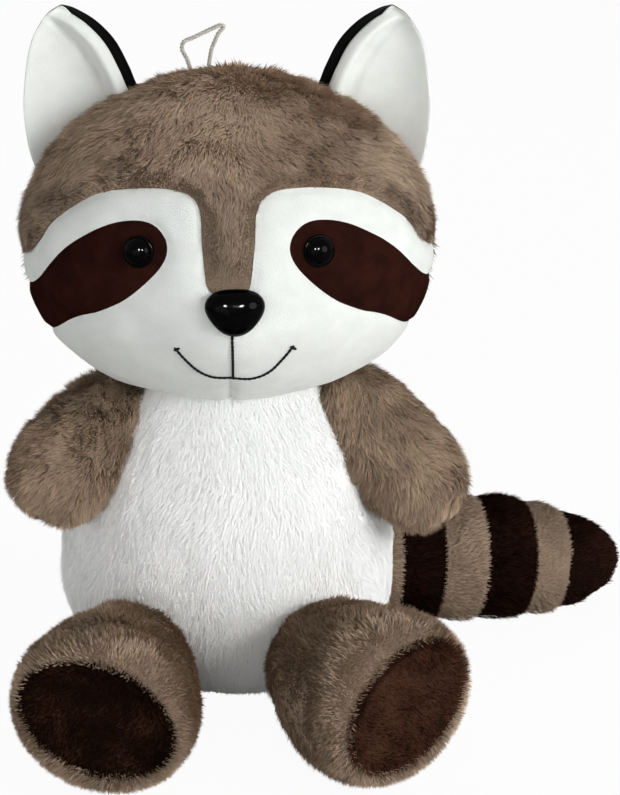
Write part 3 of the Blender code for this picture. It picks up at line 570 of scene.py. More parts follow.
class Skin:
    """A surface of triangles. A row of its table is a point with what it carries: its place, the way
    that its pile lies, and its place in its own grid."""

    def __init__(self, table, triangles):
        self.table = table
        self.triangles = triangles

    @classmethod
    def from_grid(cls, grid, rows, columns, closed):
        """A skin over a grid of points whose pile lies along the rows; it may close around itself."""
        height, width = grid.shape[:2]
        flow = unit(np.gradient(grid, axis=0))
        own = np.stack(np.broadcast_arrays(rows, columns), -1)
        table = np.concatenate([grid, flow, own], axis=2).reshape(-1, 8)
        r, c = np.meshgrid(np.arange(height - 1), np.arange(width if closed else width - 1), indexing="ij")
        a = (r * width + c).ravel()
        b = (r * width + (c + 1) % width).ravel()
        triangles = np.concatenate([np.stack([a, b, b + width], 1), np.stack([a, b + width, a + width], 1)])
        made = cls(table, triangles)
        away = made.points[triangles].mean(axis=1) - made.points.mean(axis=0)
        if (made.facing() * away).sum() < 0:
            made.triangles = triangles[:, ::-1]
        return made

    @property
    def points(self):
        return self.table[:, :3]

    @property
    def flow(self):
        return self.table[:, 3:6]

    @flow.setter
    def flow(self, ways):
        self.table[:, 3:6] = ways

    @property
    def own(self):
        return self.table[:, 6:8]

    def facing(self):
        """The way that each triangle faces, as long as twice its area."""
        corners = self.points[self.triangles]
        return np.cross(corners[:, 1] - corners[:, 0], corners[:, 2] - corners[:, 0])

    def normals(self):
        facing = self.facing()
        total = np.zeros_like(self.points)
        for k in range(3):
            np.add.at(total, self.triangles[:, k], facing)
        keys = np.round(self.points, 7)
        _, first, same = np.unique(keys, axis=0, return_index=True, return_inverse=True)
        shared = np.zeros((len(first), 3))
        np.add.at(shared, same.ravel(), total)
        return unit(shared[same.ravel()])

    def moved(self, distances):
        """The skin moved out of itself, by one distance or by one at each point."""
        table = self.table.copy()
        table[:, :3] += self.normals() * np.asarray(distances).reshape(-1, 1)
        return Skin(table, self.triangles)

    def clipped(self, field):
        """The part of the skin where a field isn't negative, cut along its zero line."""
        rows, triangles, cuts = list(self.table), [], {}
        keep = field >= 0

        def crossing(i, j):
            key = (min(i, j), max(i, j))
            if key not in cuts:
                t = field[i] / (field[i] - field[j])
                cuts[key] = len(rows)
                rows.append(self.table[i] * (1 - t) + self.table[j] * t)
            return cuts[key]

        for corners in self.triangles:
            kept = keep[corners]
            if kept.all():
                triangles.append(tuple(corners))
            elif kept.any():
                shape = []
                for i, j in zip(corners, np.roll(corners, -1)):
                    if keep[i]:
                        shape.append(i)
                    if keep[i] != keep[j]:
                        shape.append(crossing(i, j))
                triangles += [(shape[0], shape[k], shape[k + 1]) for k in range(1, len(shape) - 1)]
        triangles = np.array(triangles, int)
        used, index = np.unique(triangles, return_inverse=True)
        return Skin(np.array(rows)[used], index.reshape(-1, 3))

    def object(self, name, material, **values):
        """An object of the skin, with values at its points for the nodes that grow its pile."""
        mesh = bpy.data.meshes.new(name)
        mesh.from_pydata(self.points.tolist(), [], self.triangles.tolist())
        for key, data in values.items():
            kind, field = ("FLOAT", "value") if np.ndim(data) == 1 else ("FLOAT_VECTOR", "vector")
            mesh.attributes.new(key, kind, "POINT").data.foreach_set(field, np.ravel(data))
        work = bmesh.new()
        work.from_mesh(mesh)
        bmesh.ops.remove_doubles(work, verts=work.verts, dist=1e-6)
        work.to_mesh(mesh)
        work.free()
        mesh.shade_smooth()
        return new_object(name, mesh, material)


def linked(name, data):
    """A new object in the scene."""
    made = bpy.data.objects.new(name, data)
    bpy.context.collection.objects.link(made)
    return made


def new_object(name, mesh, material):
    mesh.materials.clear()
    mesh.materials.append(material)
    return linked(name, mesh)


def placed(made, nodes=()):
    """Tells the frame what a finished piece is, rides with and stands for."""
    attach(made, "root")
    if nodes:
        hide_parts(*nodes)
    return made


def evaluated(made):
    """The mesh that an object's nodes make of it."""
    graph = bpy.context.evaluated_depsgraph_get()
    return bpy.data.meshes.new_from_object(made.evaluated_get(graph), preserve_all_data_layers=True,
                                           depsgraph=graph)


def settled(made):
    """Turns an object's evaluated shape into its plain mesh, without what only its nodes read."""
    mesh = evaluated(made)
    made.modifiers.clear()
    made.data = mesh
    for layer in ("flow", "out", "reach", "cover", "tone", "tint", "side", "height"):
        if layer in mesh.attributes:
            mesh.attributes.remove(mesh.attributes[layer])


def plain(made):
    """A curve object's evaluated shape as a new mesh object; the curve goes."""
    name, mesh = made.name, evaluated(made)
    bpy.data.objects.remove(made)
    return linked(name, mesh)


def with_nodes(made, tree, values):
    """Gives an object a tree of nodes, and sets its inputs by name."""
    modifier = made.modifiers.new(tree.name, "NODES")
    modifier.node_group = tree
    for item in tree.interface.items_tree:
        if item.in_out == "INPUT" and item.name in values:
            modifier[item.identifier] = values[item.name]
    return made


def new_tree(name, inputs):
    """An empty tree for geometry with named inputs, and its group input."""
    tree = bpy.data.node_groups.new(name, "GeometryNodeTree")
    tree.interface.new_socket("Geometry", in_out="INPUT", socket_type="NodeSocketGeometry")
    for label, kind, value in inputs:
        made = tree.interface.new_socket(label, in_out="INPUT", socket_type="NodeSocket" + kind)
        if value is not None:
            made.default_value = value
    tree.interface.new_socket("Geometry", in_out="OUTPUT", socket_type="NodeSocketGeometry")
    build = Tree(tree)
    return build, build.node("NodeGroupInput")


def smooth(build, geometry):
    return build.node("GeometryNodeSetShadeSmooth", None, {"Geometry": geometry})


def finished(build, given, geometry):
    """Ends a tree: what it made takes the tree's material and goes out."""
    covered = build.node("GeometryNodeSetMaterial", None,
                         {"Geometry": geometry, "Material": given.other("Material")})
    build.node("NodeGroupOutput", None, {"Geometry": covered})
    return build.tree


@cache
def pile_tree():
    """Nodes that grow pile on a skin, whose points carry its lie, length and cover."""
    build, given = new_tree("Pile", (
        ("Density", "Float", 1e6), ("Length", "Float", 0.009), ("Width", "Float", 0.0008),
        ("Lift", "Float", 0.4), ("Clump", "Float", 0.4), ("Roll", "Float", 0.6),
        ("Stray", "Float", 0.26), ("Wave", "Float", 1.1), ("Swirl", "Float", 1.8), ("Curl", "Float", 0.10),
        ("Patches", "Float", 0.55), ("Seed", "Int", 7), ("Material", "Material", None)))

    def carried(name, kind="FLOAT"):
        return build.node("GeometryNodeInputNamedAttribute", {"data_type": kind}, {"Name": name})

    def chance(low, high, step, kind="FLOAT"):
        return build.node("FunctionNodeRandomValue", {"data_type": kind},
                          {"Min": low, "Max": high, "Seed": given.other("Seed") + step}, "Value")

    def stored(geometry, name, value, kind="FLOAT", domain="POINT"):
        return build.node("GeometryNodeStoreNamedAttribute", {"data_type": kind, "domain": domain},
                          {"Geometry": geometry, "Name": name, "Value": value})

    points = build.node("GeometryNodeDistributePointsOnFaces", {"distribute_method": "RANDOM"},
                        {"Mesh": given, "Density": carried("cover") * given.other("Density"),
                         "Seed": given.other("Seed")}, "Points")
    root = build.node("GeometryNodeInputPosition")
    out = carried("out", "FLOAT_VECTOR")
    length = given.other("Length") * carried("reach") * chance(*LENGTHS, 1)
    drift = build.cloud(root, DRIFT_PATCHES, 1.0, "Color") - HALF
    tuft = build.node("ShaderNodeTexVoronoi", {"feature": "F1"},
                      {"Vector": root + drift * TUFT_DRIFT, "Scale": 1 / TUFT}, "Position")
    together = (tuft - root) * given.other("Clump") * (1 / TUFT_LEAN)
    broad = build.cloud(root, SWIRL_PATCHES, 0.0, "Color") - HALF
    waves = drift * given.other("Wave") + broad * given.other("Swirl")
    stray = chance((-1, -1, -1), (1, 1, 1), 2, "FLOAT_VECTOR") * given.other("Stray")
    lie = carried("flow", "FLOAT_VECTOR") + out * given.other("Lift") + together + waves + stray
    across = build.node("ShaderNodeVectorMath", {"operation": "CROSS_PRODUCT"}, {0: lie, 1: out})
    rolled = out + across * chance(-1.0, 1.0, 3) * given.other("Roll")
    turn = build.node("FunctionNodeAxesToRotation", {"primary_axis": "Z", "secondary_axis": "Y"},
                      {"Primary Axis": lie, "Secondary Axis": rolled})
    spread = build.xyz(given.other("Width") * chance(*WIDTHS, 4), length, length)
    patch = build.cloud(root, SHADE_PATCHES, 3.0) - 0.5
    shade = 0.5 + patch * given.other("Patches") * 2 + chance(*SHADES, 5) + carried("tone")
    shade = build.node("ShaderNodeClamp", None, {"Value": shade, "Min": SHADE_ENDS[0], "Max": SHADE_ENDS[1]})
    points = stored(points, "tint", shade)

    leaf = build.node("GeometryNodeMeshCircle", {"fill_type": "NGON"}, {"Vertices": 4, "Radius": 1.0})
    parts = build.parts(root)
    fold = build.node("ShaderNodeMath", {"operation": "ABSOLUTE"}, {0: parts})
    leaf = stored(stored(leaf, "side", parts.other("Y")), "height", 0.4 - parts * 0.5 + fold * 0.1)
    tall = carried("height")
    shape = build.xyz(carried("side") * -0.5, tall * (1 - tall) * given.other("Curl") * 4, tall)
    blade = build.node("GeometryNodeSetPosition", None, {"Geometry": leaf, "Position": shape})
    blade = build.node("GeometryNodeTriangulate", {"quad_method": "FIXED_ALTERNATE"}, {0: blade})

    strands = build.node("GeometryNodeInstanceOnPoints", None,
                         {"Points": points, "Instance": blade, "Rotation": turn, "Scale": spread})
    strands = build.node("GeometryNodeRealizeInstances", None, {"Geometry": strands})
    lowest = build.node("ShaderNodeVectorMath", {"operation": "MAXIMUM"},
                        {0: root, 1: (-9.0, -9.0, PILE_LEVEL)})
    strands = build.node("GeometryNodeSetPosition", None, {"Geometry": strands, "Position": lowest})
    bake = build.xyz(carried("tint") + carried("side") * 0.004, tall * 0.98 + 0.01)
    strands = stored(strands, "OFBake", bake, "FLOAT2", "CORNER")
    return finished(build, given, strands)


@cache
def stitch_tree():
    """Nodes that lay a row of thread stitches along each line."""
    build, given = new_tree("Stitches", (("Stitch", "Float", 0.0023), ("Thread", "Float", 0.0011),
                                         ("Material", "Material", None)))
    line = build.node("GeometryNodeResampleCurve", {"mode": "LENGTH"},
                      {"Curve": given, "Length": given.other("Stitch")})
    tangent = build.node("GeometryNodeInputTangent")
    turn = build.node("FunctionNodeAxesToRotation", {"primary_axis": "Z", "secondary_axis": "Y"},
                      {"Primary Axis": tangent, "Secondary Axis": (0.0, -1.0, 0.0)})
    bead = build.node("GeometryNodeMeshUVSphere", None, {"Segments": 8, "Rings": 7, "Radius": 0.5})
    thread = given.other("Thread")
    spread = build.xyz(thread, thread, given.other("Stitch") * STITCH_OVERLAP)
    row = build.node("GeometryNodeInstanceOnPoints", None,
                     {"Points": line, "Instance": bead, "Rotation": turn, "Scale": spread})
    row = build.node("GeometryNodeRealizeInstances", None, {"Geometry": row})
    return finished(build, given, smooth(build, row))


@cache
def cord_tree():
    """Nodes that lay three twisted plies along a line."""
    build, given = new_tree("Cord", (("Diameter", "Float", 0.0023), ("Lay", "Float", 0.0052),
                                     ("Material", "Material", None)))
    line = build.node("GeometryNodeResampleCurve", {"mode": "LENGTH"}, {"Curve": given, "Length": CORD_STEP})
    turn = build.node("GeometryNodeSplineParameter", output="Length") * (2 * math.pi)
    turn = build.math("DIVIDE", turn, given.other("Lay"))
    line = build.node("GeometryNodeSetCurveTilt", None, {"Curve": line, "Tilt": turn})
    diameter = given.other("Diameter")
    join = build.node("GeometryNodeJoinGeometry").socket.node
    for third in range(3):
        angle = 2 * math.pi * third / 3
        ring = build.node("GeometryNodeCurvePrimitiveCircle", {"mode": "RADIUS"},
                          {"Resolution": 8, "Radius": diameter * PLY})
        where = build.xyz(diameter * (PLY * math.cos(angle)), diameter * (PLY * math.sin(angle)))
        ring = build.node("GeometryNodeSetPosition", None, {"Geometry": ring, "Offset": where})
        build.tree.links.new(ring.socket, join.inputs[0])
    tube = build.node("GeometryNodeCurveToMesh", None,
                      {"Curve": line, "Profile Curve": Link(build, join.outputs[0]), "Fill Caps": True})
    return finished(build, given, smooth(build, tube))


def line_object(name, lines):
    curve = bpy.data.curves.new(name, "CURVE")
    curve.dimensions = "3D"
    for points in lines:
        spline = curve.splines.new("POLY")
        spline.points.add(len(points) - 1)
        for spot, point in zip(spline.points, points):
            spot.co = (*point, 1)
    return linked(name, curve)


# Forms of the toy

def snout(x, z):
    head = settings().head
    return head.snout_rise * np.exp(-((x - head.face_x) / head.snout_width) ** 2
                                    - ((z - head.snout_z) / head.snout_height) ** 2)


def round_form(group, square, rows, columns):
    """Places on a rounded form with a squarer lower half, and the angles above its widest level and
    around it."""
    up = np.linspace(math.pi / 2, -math.pi / 2, rows)[:, None]
    around = turns(columns)[None]
    power = np.where(up < 0, 2 / square, 1.0)
    level = np.maximum(np.cos(up), 0) ** power
    rise = np.sign(up) * np.abs(np.sin(up)) ** power * np.where(up < 0, group.down, group.up)
    x = group.centre[0] + group.half_width * level * np.cos(around)
    depth = np.where(np.sin(around) < 0, group.front, group.back)
    y = group.centre[1] + depth * level * np.sin(around)
    return np.broadcast_arrays(x, y, group.centre[2] + rise), up, around


def head_form(rows, columns):
    head = settings().head
    (x, y, z), up, around = round_form(head, head.jowl, rows, columns)
    y = y - np.where(y < head.centre[1], snout(x, z), 0)
    return Skin.from_grid(np.stack([x, y, z], -1), up, around, True)


def body_form(rows, columns):
    body = settings().body
    (x, y, z), up, around = round_form(body, body.seat, rows, columns)
    return Skin.from_grid(np.stack([x, y, np.maximum(z, 0)], -1), up, around, True)


def face_place(x, z):
    """Points of the face seen from the front, and the ways across, up and out of it there."""
    head = settings().head
    x, z = np.asarray(x, float), np.asarray(z, float)

    def surface(x, z):
        rise = z - head.centre[2]
        power = np.where(rise < 0, head.jowl, 2.0)
        level = (1 - (np.abs(rise) / np.where(rise < 0, head.down, head.up)) ** power) ** (1 / power)
        across = (x - head.centre[0]) / head.half_width
        depth = head.front * np.sqrt(np.maximum(level ** 2 - across ** 2, 0))
        return np.stack([x, head.centre[1] - depth - snout(x, z), z], -1)

    step = 0.004
    across = unit(surface(x + step, z) - surface(x - step, z))
    up = unit(surface(x, z + step) - surface(x, z - step))
    out = unit(np.cross(across, up))
    return surface(x, z), across, np.cross(out, across), out


def swept_form(path, shares, wide, thin, broad, columns):
    """A limb: oval rings along a path, kept above the floor."""
    centre, along = bend(path, shares)
    across = unit(np.array(broad) - along * (along @ np.array(broad))[:, None])
    up = np.cross(along, across)
    angle = turns(columns)
    grid = (centre[:, None] + across[:, None] * (wide[:, None] * np.cos(angle))[..., None]
            + up[:, None] * (thin[:, None] * np.sin(angle))[..., None])
    grid[..., 2] = np.maximum(grid[..., 2], 0)
    return Skin.from_grid(grid, np.asarray(shares)[:, None], angle[None], True)


def arm_form(side):
    limbs = settings().limbs
    rows, columns = ARM_STEPS
    path = PATHS["arm_" + side]
    t = (1 - np.cos(math.pi * np.arange(rows) / (rows - 1))) / 2
    blunt = np.maximum(1 - np.abs(2 * t - 1) ** limbs.arm_round, 0) ** (1 / limbs.arm_round)
    full = (limbs.arm_shoulder + (1 - limbs.arm_shoulder) * ease(t)) * blunt
    start, end = np.array(path[0]), np.array(path[2])
    broad = unit(np.array([end[2] - start[2], 0, start[0] - end[0]]))
    return swept_form(path, t, limbs.arm_broad * full, limbs.arm_thin * full, broad, columns)


def leg_axes(side):
    """The middle of a sole, and the ways along the leg, along the sole and across it."""
    limbs = settings().limbs
    sign = -1 if side == "left" else 1
    roll = limbs.roll_left if side == "left" else limbs.roll_right
    end, along = bend(PATHS["leg_" + side], 1)
    level = unit(np.array([-along[1], along[0], 0]))
    level = -level if level[0] * sign < 0 else level
    broad = level * math.cos(roll) + np.array([0, 0, 1]) * math.sin(roll)
    across = unit(broad - along * (along @ broad))
    return end, along, broad, across, np.cross(along, across)


def leg_form(side):
    limbs = settings().limbs
    rows, columns = LEG_STEPS
    rim = limbs.sole_rim
    t = np.concatenate([np.linspace(0.0, rim, rows - FOOT_STEPS, endpoint=False),
                        rim + (1 - rim) * np.sin(np.linspace(0, math.pi / 2, FOOT_STEPS))])
    full = ease(t / rim)
    near = np.sqrt(np.maximum(1 - (np.clip(t - rim, 0, None) / (1 - rim)) ** 2, 0))
    sizes = []
    for foot, sole in ((limbs.foot_broad, limbs.sole_broad), (limbs.foot_thin, limbs.sole_thin)):
        sizes.append(np.where(t < rim, limbs.leg_hip + (foot - limbs.leg_hip) * full,
                              sole + (foot - sole) * near) * np.minimum(1, 0.3 + t * 12))
    return swept_form(PATHS["leg_" + side], t, *sizes, leg_axes(side)[2], columns)


def tail_form():
    limbs = settings().limbs
    rows, columns = TAIL_STEPS
    t = np.append(np.sin(np.linspace(0, math.pi / 2, rows)) * TAIL_LAST, 1.0)
    past = np.clip(t - limbs.tail_fullest, 0, None) / (1 - limbs.tail_fullest)
    slim = np.maximum(1 - past ** limbs.tail_slim, 0) ** limbs.tail_blunt
    radius = np.where(t < limbs.tail_fullest,
                      limbs.tail_root + (limbs.tail_radius - limbs.tail_root) * ease(t / limbs.tail_fullest),
                      limbs.tail_radius * slim)
    radius[0] = radius[-1] = 0
    return swept_form(PATHS["tail"], t, radius, radius, (0.0, 0.0, 1.0), columns)


@cache
def form(name):
    """A closed form of the toy, made once."""
    kind, _, side = name.partition("_")
    return {"head": lambda: head_form(*HEAD_STEPS), "body": lambda: body_form(*BODY_STEPS),
            "tail": tail_form, "arm": lambda: arm_form(side), "leg": lambda: leg_form(side)}[kind]()


def open_to_air(points, *others):
    """1 where points lie outside the other forms, 0 where they are buried in one."""
    clear = np.ones(len(points))
    for name in others:
        other = form(name)
        search = BVHTree.FromPolygons(other.points.tolist(), other.triangles.tolist())
        for i, point in enumerate(points):
            near, facing, _, away = search.find_nearest(Vector(point))
            if (Vector(point) - near).dot(facing) < 0 and away > BURIED:
                clear[i] = 0
    return clear


def wander(points, scale, seed=0):
    """Smooth random values from -1 to 1 at points, of so many patches a metre."""
    return np.array([noise.noise(Vector(p) * scale + Vector((seed, seed, seed))) for p in points])


def uneven(points, *swells):
    """Heights of soft swellings at points, each given by height, patches a metre and start."""
    return sum(height * wander(points, scale, seed) for height, scale, seed in swells)


def furry(name, skin, kind, slot, nodes, others=(), rise=None, grown=1.0, reach=1.0, tone=0.0, depth=0.32,
          **habits):
    """A sewn panel: its cloth under the pile, and the pile that grows on it.

    The pile keeps out of the other forms and grows where grown is 1. Reach, tone and depth set its length,
    its shade and how much its shades differ; habits are inputs of its nodes.
    """
    toy = settings()
    group = getattr(toy, kind)
    cloth = skin.moved(-toy.under if rise is None else rise)
    cover = open_to_air(cloth.points, *others) * grown
    mean = [a * 0.6 + b * 0.4 for a, b in zip(group.root, group.tip)]
    placed(cloth.object(name + "_cloth", cloth_finish(name + " cloth", mean)), nodes)

    areas = np.linalg.norm(cloth.facing(), axis=1) / 2
    covered = (areas * cover[cloth.triangles].mean(axis=1)).sum()
    fewer, wider = ((1, 1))
    look = pile_finish(name + " pile", group.root, group.tip, depth)
    each = np.ones(len(cover))
    hair = cloth.object(name + "_pile", look, flow=cloth.flow, out=cloth.normals(), cover=cover,
                        reach=each * reach, tone=each * tone)
    with_nodes(hair, pile_tree(), {
        "Density": group.strands // fewer / covered, "Length": group.length, "Width": group.width * wider,
        "Lift": group.lift, "Clump": group.clump, "Seed": toy.seed + len(name), "Material": look, **habits})
    settled(hair)
    placed(hair, nodes)


# Operators

class MakeStage(Operator):
    """Camera, soft lights, floor and white surroundings"""
    bl_idname = "plush.make_stage"
    bl_label = "Stage"

    def execute(self, context):
        scene = context.scene
        scene.view_settings.view_transform = "Standard"
        view = bpy.data.cameras.new("camera")
        view.sensor_fit = "VERTICAL"
        view.sensor_height = FILM
        view.lens = FILM * CAMERA_FAR / SEEN_TALL
        camera = linked("camera", view)
        back = Vector((0, -math.cos(CAMERA_RISE), math.sin(CAMERA_RISE))) * CAMERA_FAR
        camera.location = Vector(CAMERA_TARGET) + back
        camera.rotation_euler = (math.pi / 2 - CAMERA_RISE, 0, 0)
        scene.camera = camera

        for name, (spot, extent, power) in LAMPS.items():
            lamp = bpy.data.lights.new(name, "AREA")
            lamp.shape = "DISK"
            lamp.size = extent
            lamp.energy = power
            light = linked(name, lamp)
            light.visible_diffuse = not name.startswith("glint")
            light.location = spot
            light.rotation_euler = (Vector(LAMP_TARGET) - light.location).to_track_quat("-Z", "Y").to_euler()

        world = bpy.data.worlds.new("white room")
        world.use_nodes = True
        scene.world = world
        air = Tree(world.node_tree)
        seen = air.node("ShaderNodeLightPath", output="Is Camera Ray")
        background = world.node_tree.nodes["Background"]
        background.inputs["Color"].default_value = (1, 1, 1, 1)
        direct = air.math("MAXIMUM", seen, seen.other("Is Transmission Ray"))
        direct = air.math("MAXIMUM", direct, seen.other("Is Glossy Ray"))
        height = air.parts(air.node("ShaderNodeTexCoord", output="Generated")).other("Z")
        high = air.node("ShaderNodeClamp", None, {"Value": height, "Min": 0.0, "Max": 1.0})
        soft = AIR_LEVEL - high * AIR_LESS
        air.put(background.inputs["Strength"], soft + direct * (1 - soft))

        line = np.linspace(-FLOOR_HALF, FLOOR_HALF, FLOOR_STEPS)
        grid = np.stack(np.meshgrid(line, line, indexing="ij"), -1)
        flat = np.concatenate([grid, np.full(grid.shape[:2] + (1,), FLOOR_LEVEL)], axis=2)
        floor = Skin.from_grid(flat, grid[..., 0], grid[..., 1], False)
        look = Finish("floor", roughness=0.9, specular_ior_level=0.1)
        tone = settings().colours.floor
        look.surface(base_color=look.mix(look.noise(40, 3), linear(dimmed(tone, 0.985)), linear(tone)))
        white = look.node("ShaderNodeEmission", None, {"Color": (1, 1, 1, 1), "Strength": 1.0})
        ray = look.node("ShaderNodeLightPath", output="Is Camera Ray")
        blend = look.node("ShaderNodeMixShader", None,
                          {0: ray * FLOOR_WHITE, 1: Link(look, look.shader.outputs[0]), 2: white})
        look.tree.links.new(blend.socket, look.tree.nodes["Material Output"].inputs["Surface"])
        made = floor.object("floor", look.material)
        if made.data.polygons[0].normal.z < 0:
            made.data.flip_normals()
        return {"FINISHED"}


class MakeLoop(Operator):
    """The twisted cord loop on top of the head"""
    bl_idname = "plush.make_loop"
    bl_label = "Hanging loop"

    def execute(self, context):
        toy = settings()
        route = smooth_through(LOOP_ROUTE, 8)
        look = fibre_finish("loop cord", toy.colours.cord, 1500)
        loop = line_object("hanging_loop_cord", [route])
        with_nodes(loop, cord_tree(), {"Diameter": toy.limbs.loop, "Material": look})
        loop = plain(loop)
        placed(loop, ["hanging_loop"])
        return {"FINISHED"}


def face_outlines(side):
    """Front view of half the white face and of its eye patch, as closed outlines."""
    line = settings().head.face_x
    low = settings().head.centre[2] - 2 * settings().head.down
    crown = [(line + side * out, z) for out, z in smooth_through(CROWN_SEAM, 6)]
    patch = [(line + side * out, z) for out, z in smooth_through(PATCH_SEAM, 6)]
    return crown + [(line, BLAZE_END_Z), (line, low), (crown[0][0], low)], patch


FACES = {}


class MakeFace(Operator):
    """White velvet face, dark eye patches, and their sewn seams"""
    bl_idname = "plush.make_face"
    bl_label = "Face"

    def execute(self, context):
        toy = settings()
        head = toy.head
        skin = head_form(*FACE_STEPS)
        skin = skin.clipped(EAR_SEAM_Y - FACE_CLEAR - skin.points[:, 1])
        velvet = velvet_finish("white velvet", toy.colours.white, 0.92, 0.0005)
        brown = velvet_finish("patch velvet", toy.colours.patch, 0.35, 0.00045, 0.0, 0.0)
        for side, name in SIDES:
            face, patch = face_outlines(side)
            half = skin.clipped(side * (skin.points[:, 0] - head.face_x) + FACE_OVERLAP)
            seen = half.points[:, [0, 2]]
            x, z = seen.T
            to_face, to_patch = inside_by(seen, face), inside_by(seen, patch)
            middle = np.abs(x - head.face_x)
            seam = np.minimum(np.abs(to_face), np.abs(to_patch))
            dip = toy.pucker * hill(seam, SEAM_HALF)
            dip += toy.pucker * FOLD_SHARE * np.exp(-seam / FOLD_REACH) * (1 + wander(half.points, 190)) / 2
            chin = ease((head.snout_z - CHIN_UNDER_SNOUT - z) / CHIN_REACH)
            dip *= np.where((middle < MUZZLE_HALF) & (z < BLAZE_END_Z - 0.008), 0.1 + 0.9 * chin, 1)
            below = chin * ease((z - CHIN_LOW) / CHIN_REACH)
            dip += below * toy.pucker * CHIN_SHARE * hill(middle, CHIN_HALF)
            folds = wander(half.points * (0.2, 1, 1), 260, 3)
            dip += below * toy.pucker * CHIN_FOLD_SHARE * np.exp(-middle / CHIN_FOLD_REACH) * folds
            eye = np.hypot(x - (head.face_x + side * head.eye_out), z - head.eye_z)
            dip += EYE_DENT * hill(eye, EYE_DENT_REACH)
            nose = np.hypot(x - head.nose_x, z - head.nose_z)
            dip += NOSE_DENT * hill(nose, NOSE_DENT_REACH)
            dip += uneven(half.points, *FACE_SWELLS) - FACE_SUNK
            half = half.moved(-dip)
            FACES[name] = half
            for kind, keep, look, slot in (("face_", np.minimum(to_face, -to_patch), velvet, "white_velvet"),
                                           ("eye_patch_", to_patch, brown, "dark_velvet")):
                piece = half.clipped(keep).object(kind + name + "_velvet", look)
                placed(piece, [kind + name])
        return {"FINISHED"}


class MakeHeadFur(Operator):
    """Brown fur over the crown, the stripe between the eyes and the back of the head"""
    bl_idname = "plush.make_head_fur"
    bl_label = "Fur of the head"

    def execute(self, context):
        head = settings().head
        skin = head_form(*FUR_STEPS)
        lie = np.full_like(skin.points, (0, -0.55, -1.0))
        lie[:, 0] = (skin.points[:, 0] - head.face_x) * 9
        out = skin.normals()
        skin.flow = unit(lie - out * (lie * out).sum(axis=1, keepdims=True))

        def from_faces(points):
            """How far points lie outside the white face, seen from the front."""
            seen = points[:, [0, 2]]
            return -np.max([inside_by(seen, face_outlines(side)[0]) for side, _ in SIDES], axis=0)

        ahead = EAR_SEAM_Y - skin.points[:, 1]
        crown = skin.clipped(np.minimum(ahead, from_faces(skin.points)))
        crown = crown.clipped(crown.points[:, 2] - BLAZE_END_Z + 0.004)
        x, _, z = crown.points.T
        edge = from_faces(crown.points)
        stripe = np.abs(x - head.face_x) / STRIPE_HALF
        low = 1 - ease((z - BLAZE_END_Z) / STRIPE_FADE)
        aside = ease((np.abs(x - head.centre[0]) - ASIDE_FROM) / ASIDE_FADE)
        reach = (1 - 0.35 * low * np.exp(-stripe ** 4)) * (1 - aside) + FRINGE * aside
        reach *= 0.40 + 0.60 * ease(edge / RIM_GROWN)
        stand = (1 - ease(edge / RIM_STANDING))[:, None] * 0.55
        crown.flow = crown.flow * (1 - stand) + crown.normals() * stand
        nose = np.hypot((x - head.nose_x) / head.nose_width, (z - head.nose_z) / head.nose_height)
        reach *= 0.35 + 0.65 * ease((nose - 0.9) / 0.9)
        paler = hill(x - head.face_x, PALE_HALF) * ease((z - PALE_FROM) / PALE_FADE)
        darker = 1 - ease((z - DARK_UNDER) / DARK_FADE)
        furry("crown", crown, "crown", "brown_fur", ["crown_panel"], grown=nose > 0.95, reach=reach,
              tone=0.40 * paler - 0.75 * darker, Wave=1.3, Swirl=1.7)
        furry("head_back", skin.clipped(-ahead), "nape", "brown_fur", ["head_back_left", "head_back_right"],
              ["body"])
        return {"FINISHED"}


def bead(name, rings, look):
    """A domed piece of plastic from rings of points."""
    skin = Skin.from_grid(np.array(rings), np.arange(len(rings))[:, None], turns(BEAD_STEPS)[None], True)
    placed(skin.object(name + "_bead", look), [name])


class MakeEyesAndNose(Operator):
    """Glossy domed eyes with their rims, and the nose"""
    bl_idname = "plush.make_eyes_and_nose"
    bl_label = "Eyes and nose"

    def execute(self, context):
        head = settings().head
        look = plastic_finish("black plastic", settings().colours.plastic)
        angles = turns(BEAD_STEPS)
        rise = np.linspace(0, math.pi / 2, DOME_STEPS)
        rim = [(0.80, -0.30), (0.97, -0.28), (1.03, -0.10), (1.035, 0.02), (1.00, 0.10), (0.955, 0.12),
               (0.925, 0.10)]
        dome = [(0.915 * math.cos(a), 0.12 + 0.88 * math.sin(a)) for a in rise]
        for side, name in SIDES:
            where, across, up, out = face_place(head.face_x + side * head.eye_out, head.eye_z)
            bead("eye_" + name, [[where + (across * math.cos(a) + up * math.sin(a)) * reach * head.eye_radius
                                  + out * high * head.eye_dome for a in angles]
                                 for reach, high in rim + dome], look)
        where, across, up, out = face_place(head.nose_x, head.nose_z)
        lobes = 1 + 0.075 * np.cos(3 * (angles + math.pi / 2)) + 0.02 * np.cos(angles * 2)
        rings = []
        domed = [(math.cos(a) ** 0.86, math.sin(a)) for a in rise]
        for reach, high in [(0.80, -0.30), (0.96, -0.16)] + domed:
            wide = np.cos(angles) * lobes * head.nose_width * reach
            tall = np.sin(angles) * lobes * head.nose_height * reach
            dent = 1 - 0.04 * reach * hill(wide, 0.004) * (tall > 0)
            rings.append(where + across * wide[:, None] + up * tall[:, None]
                         + out * (high * head.nose_dome * dent)[:, None])
        bead("nose", rings, look)
        return {"FINISHED"}


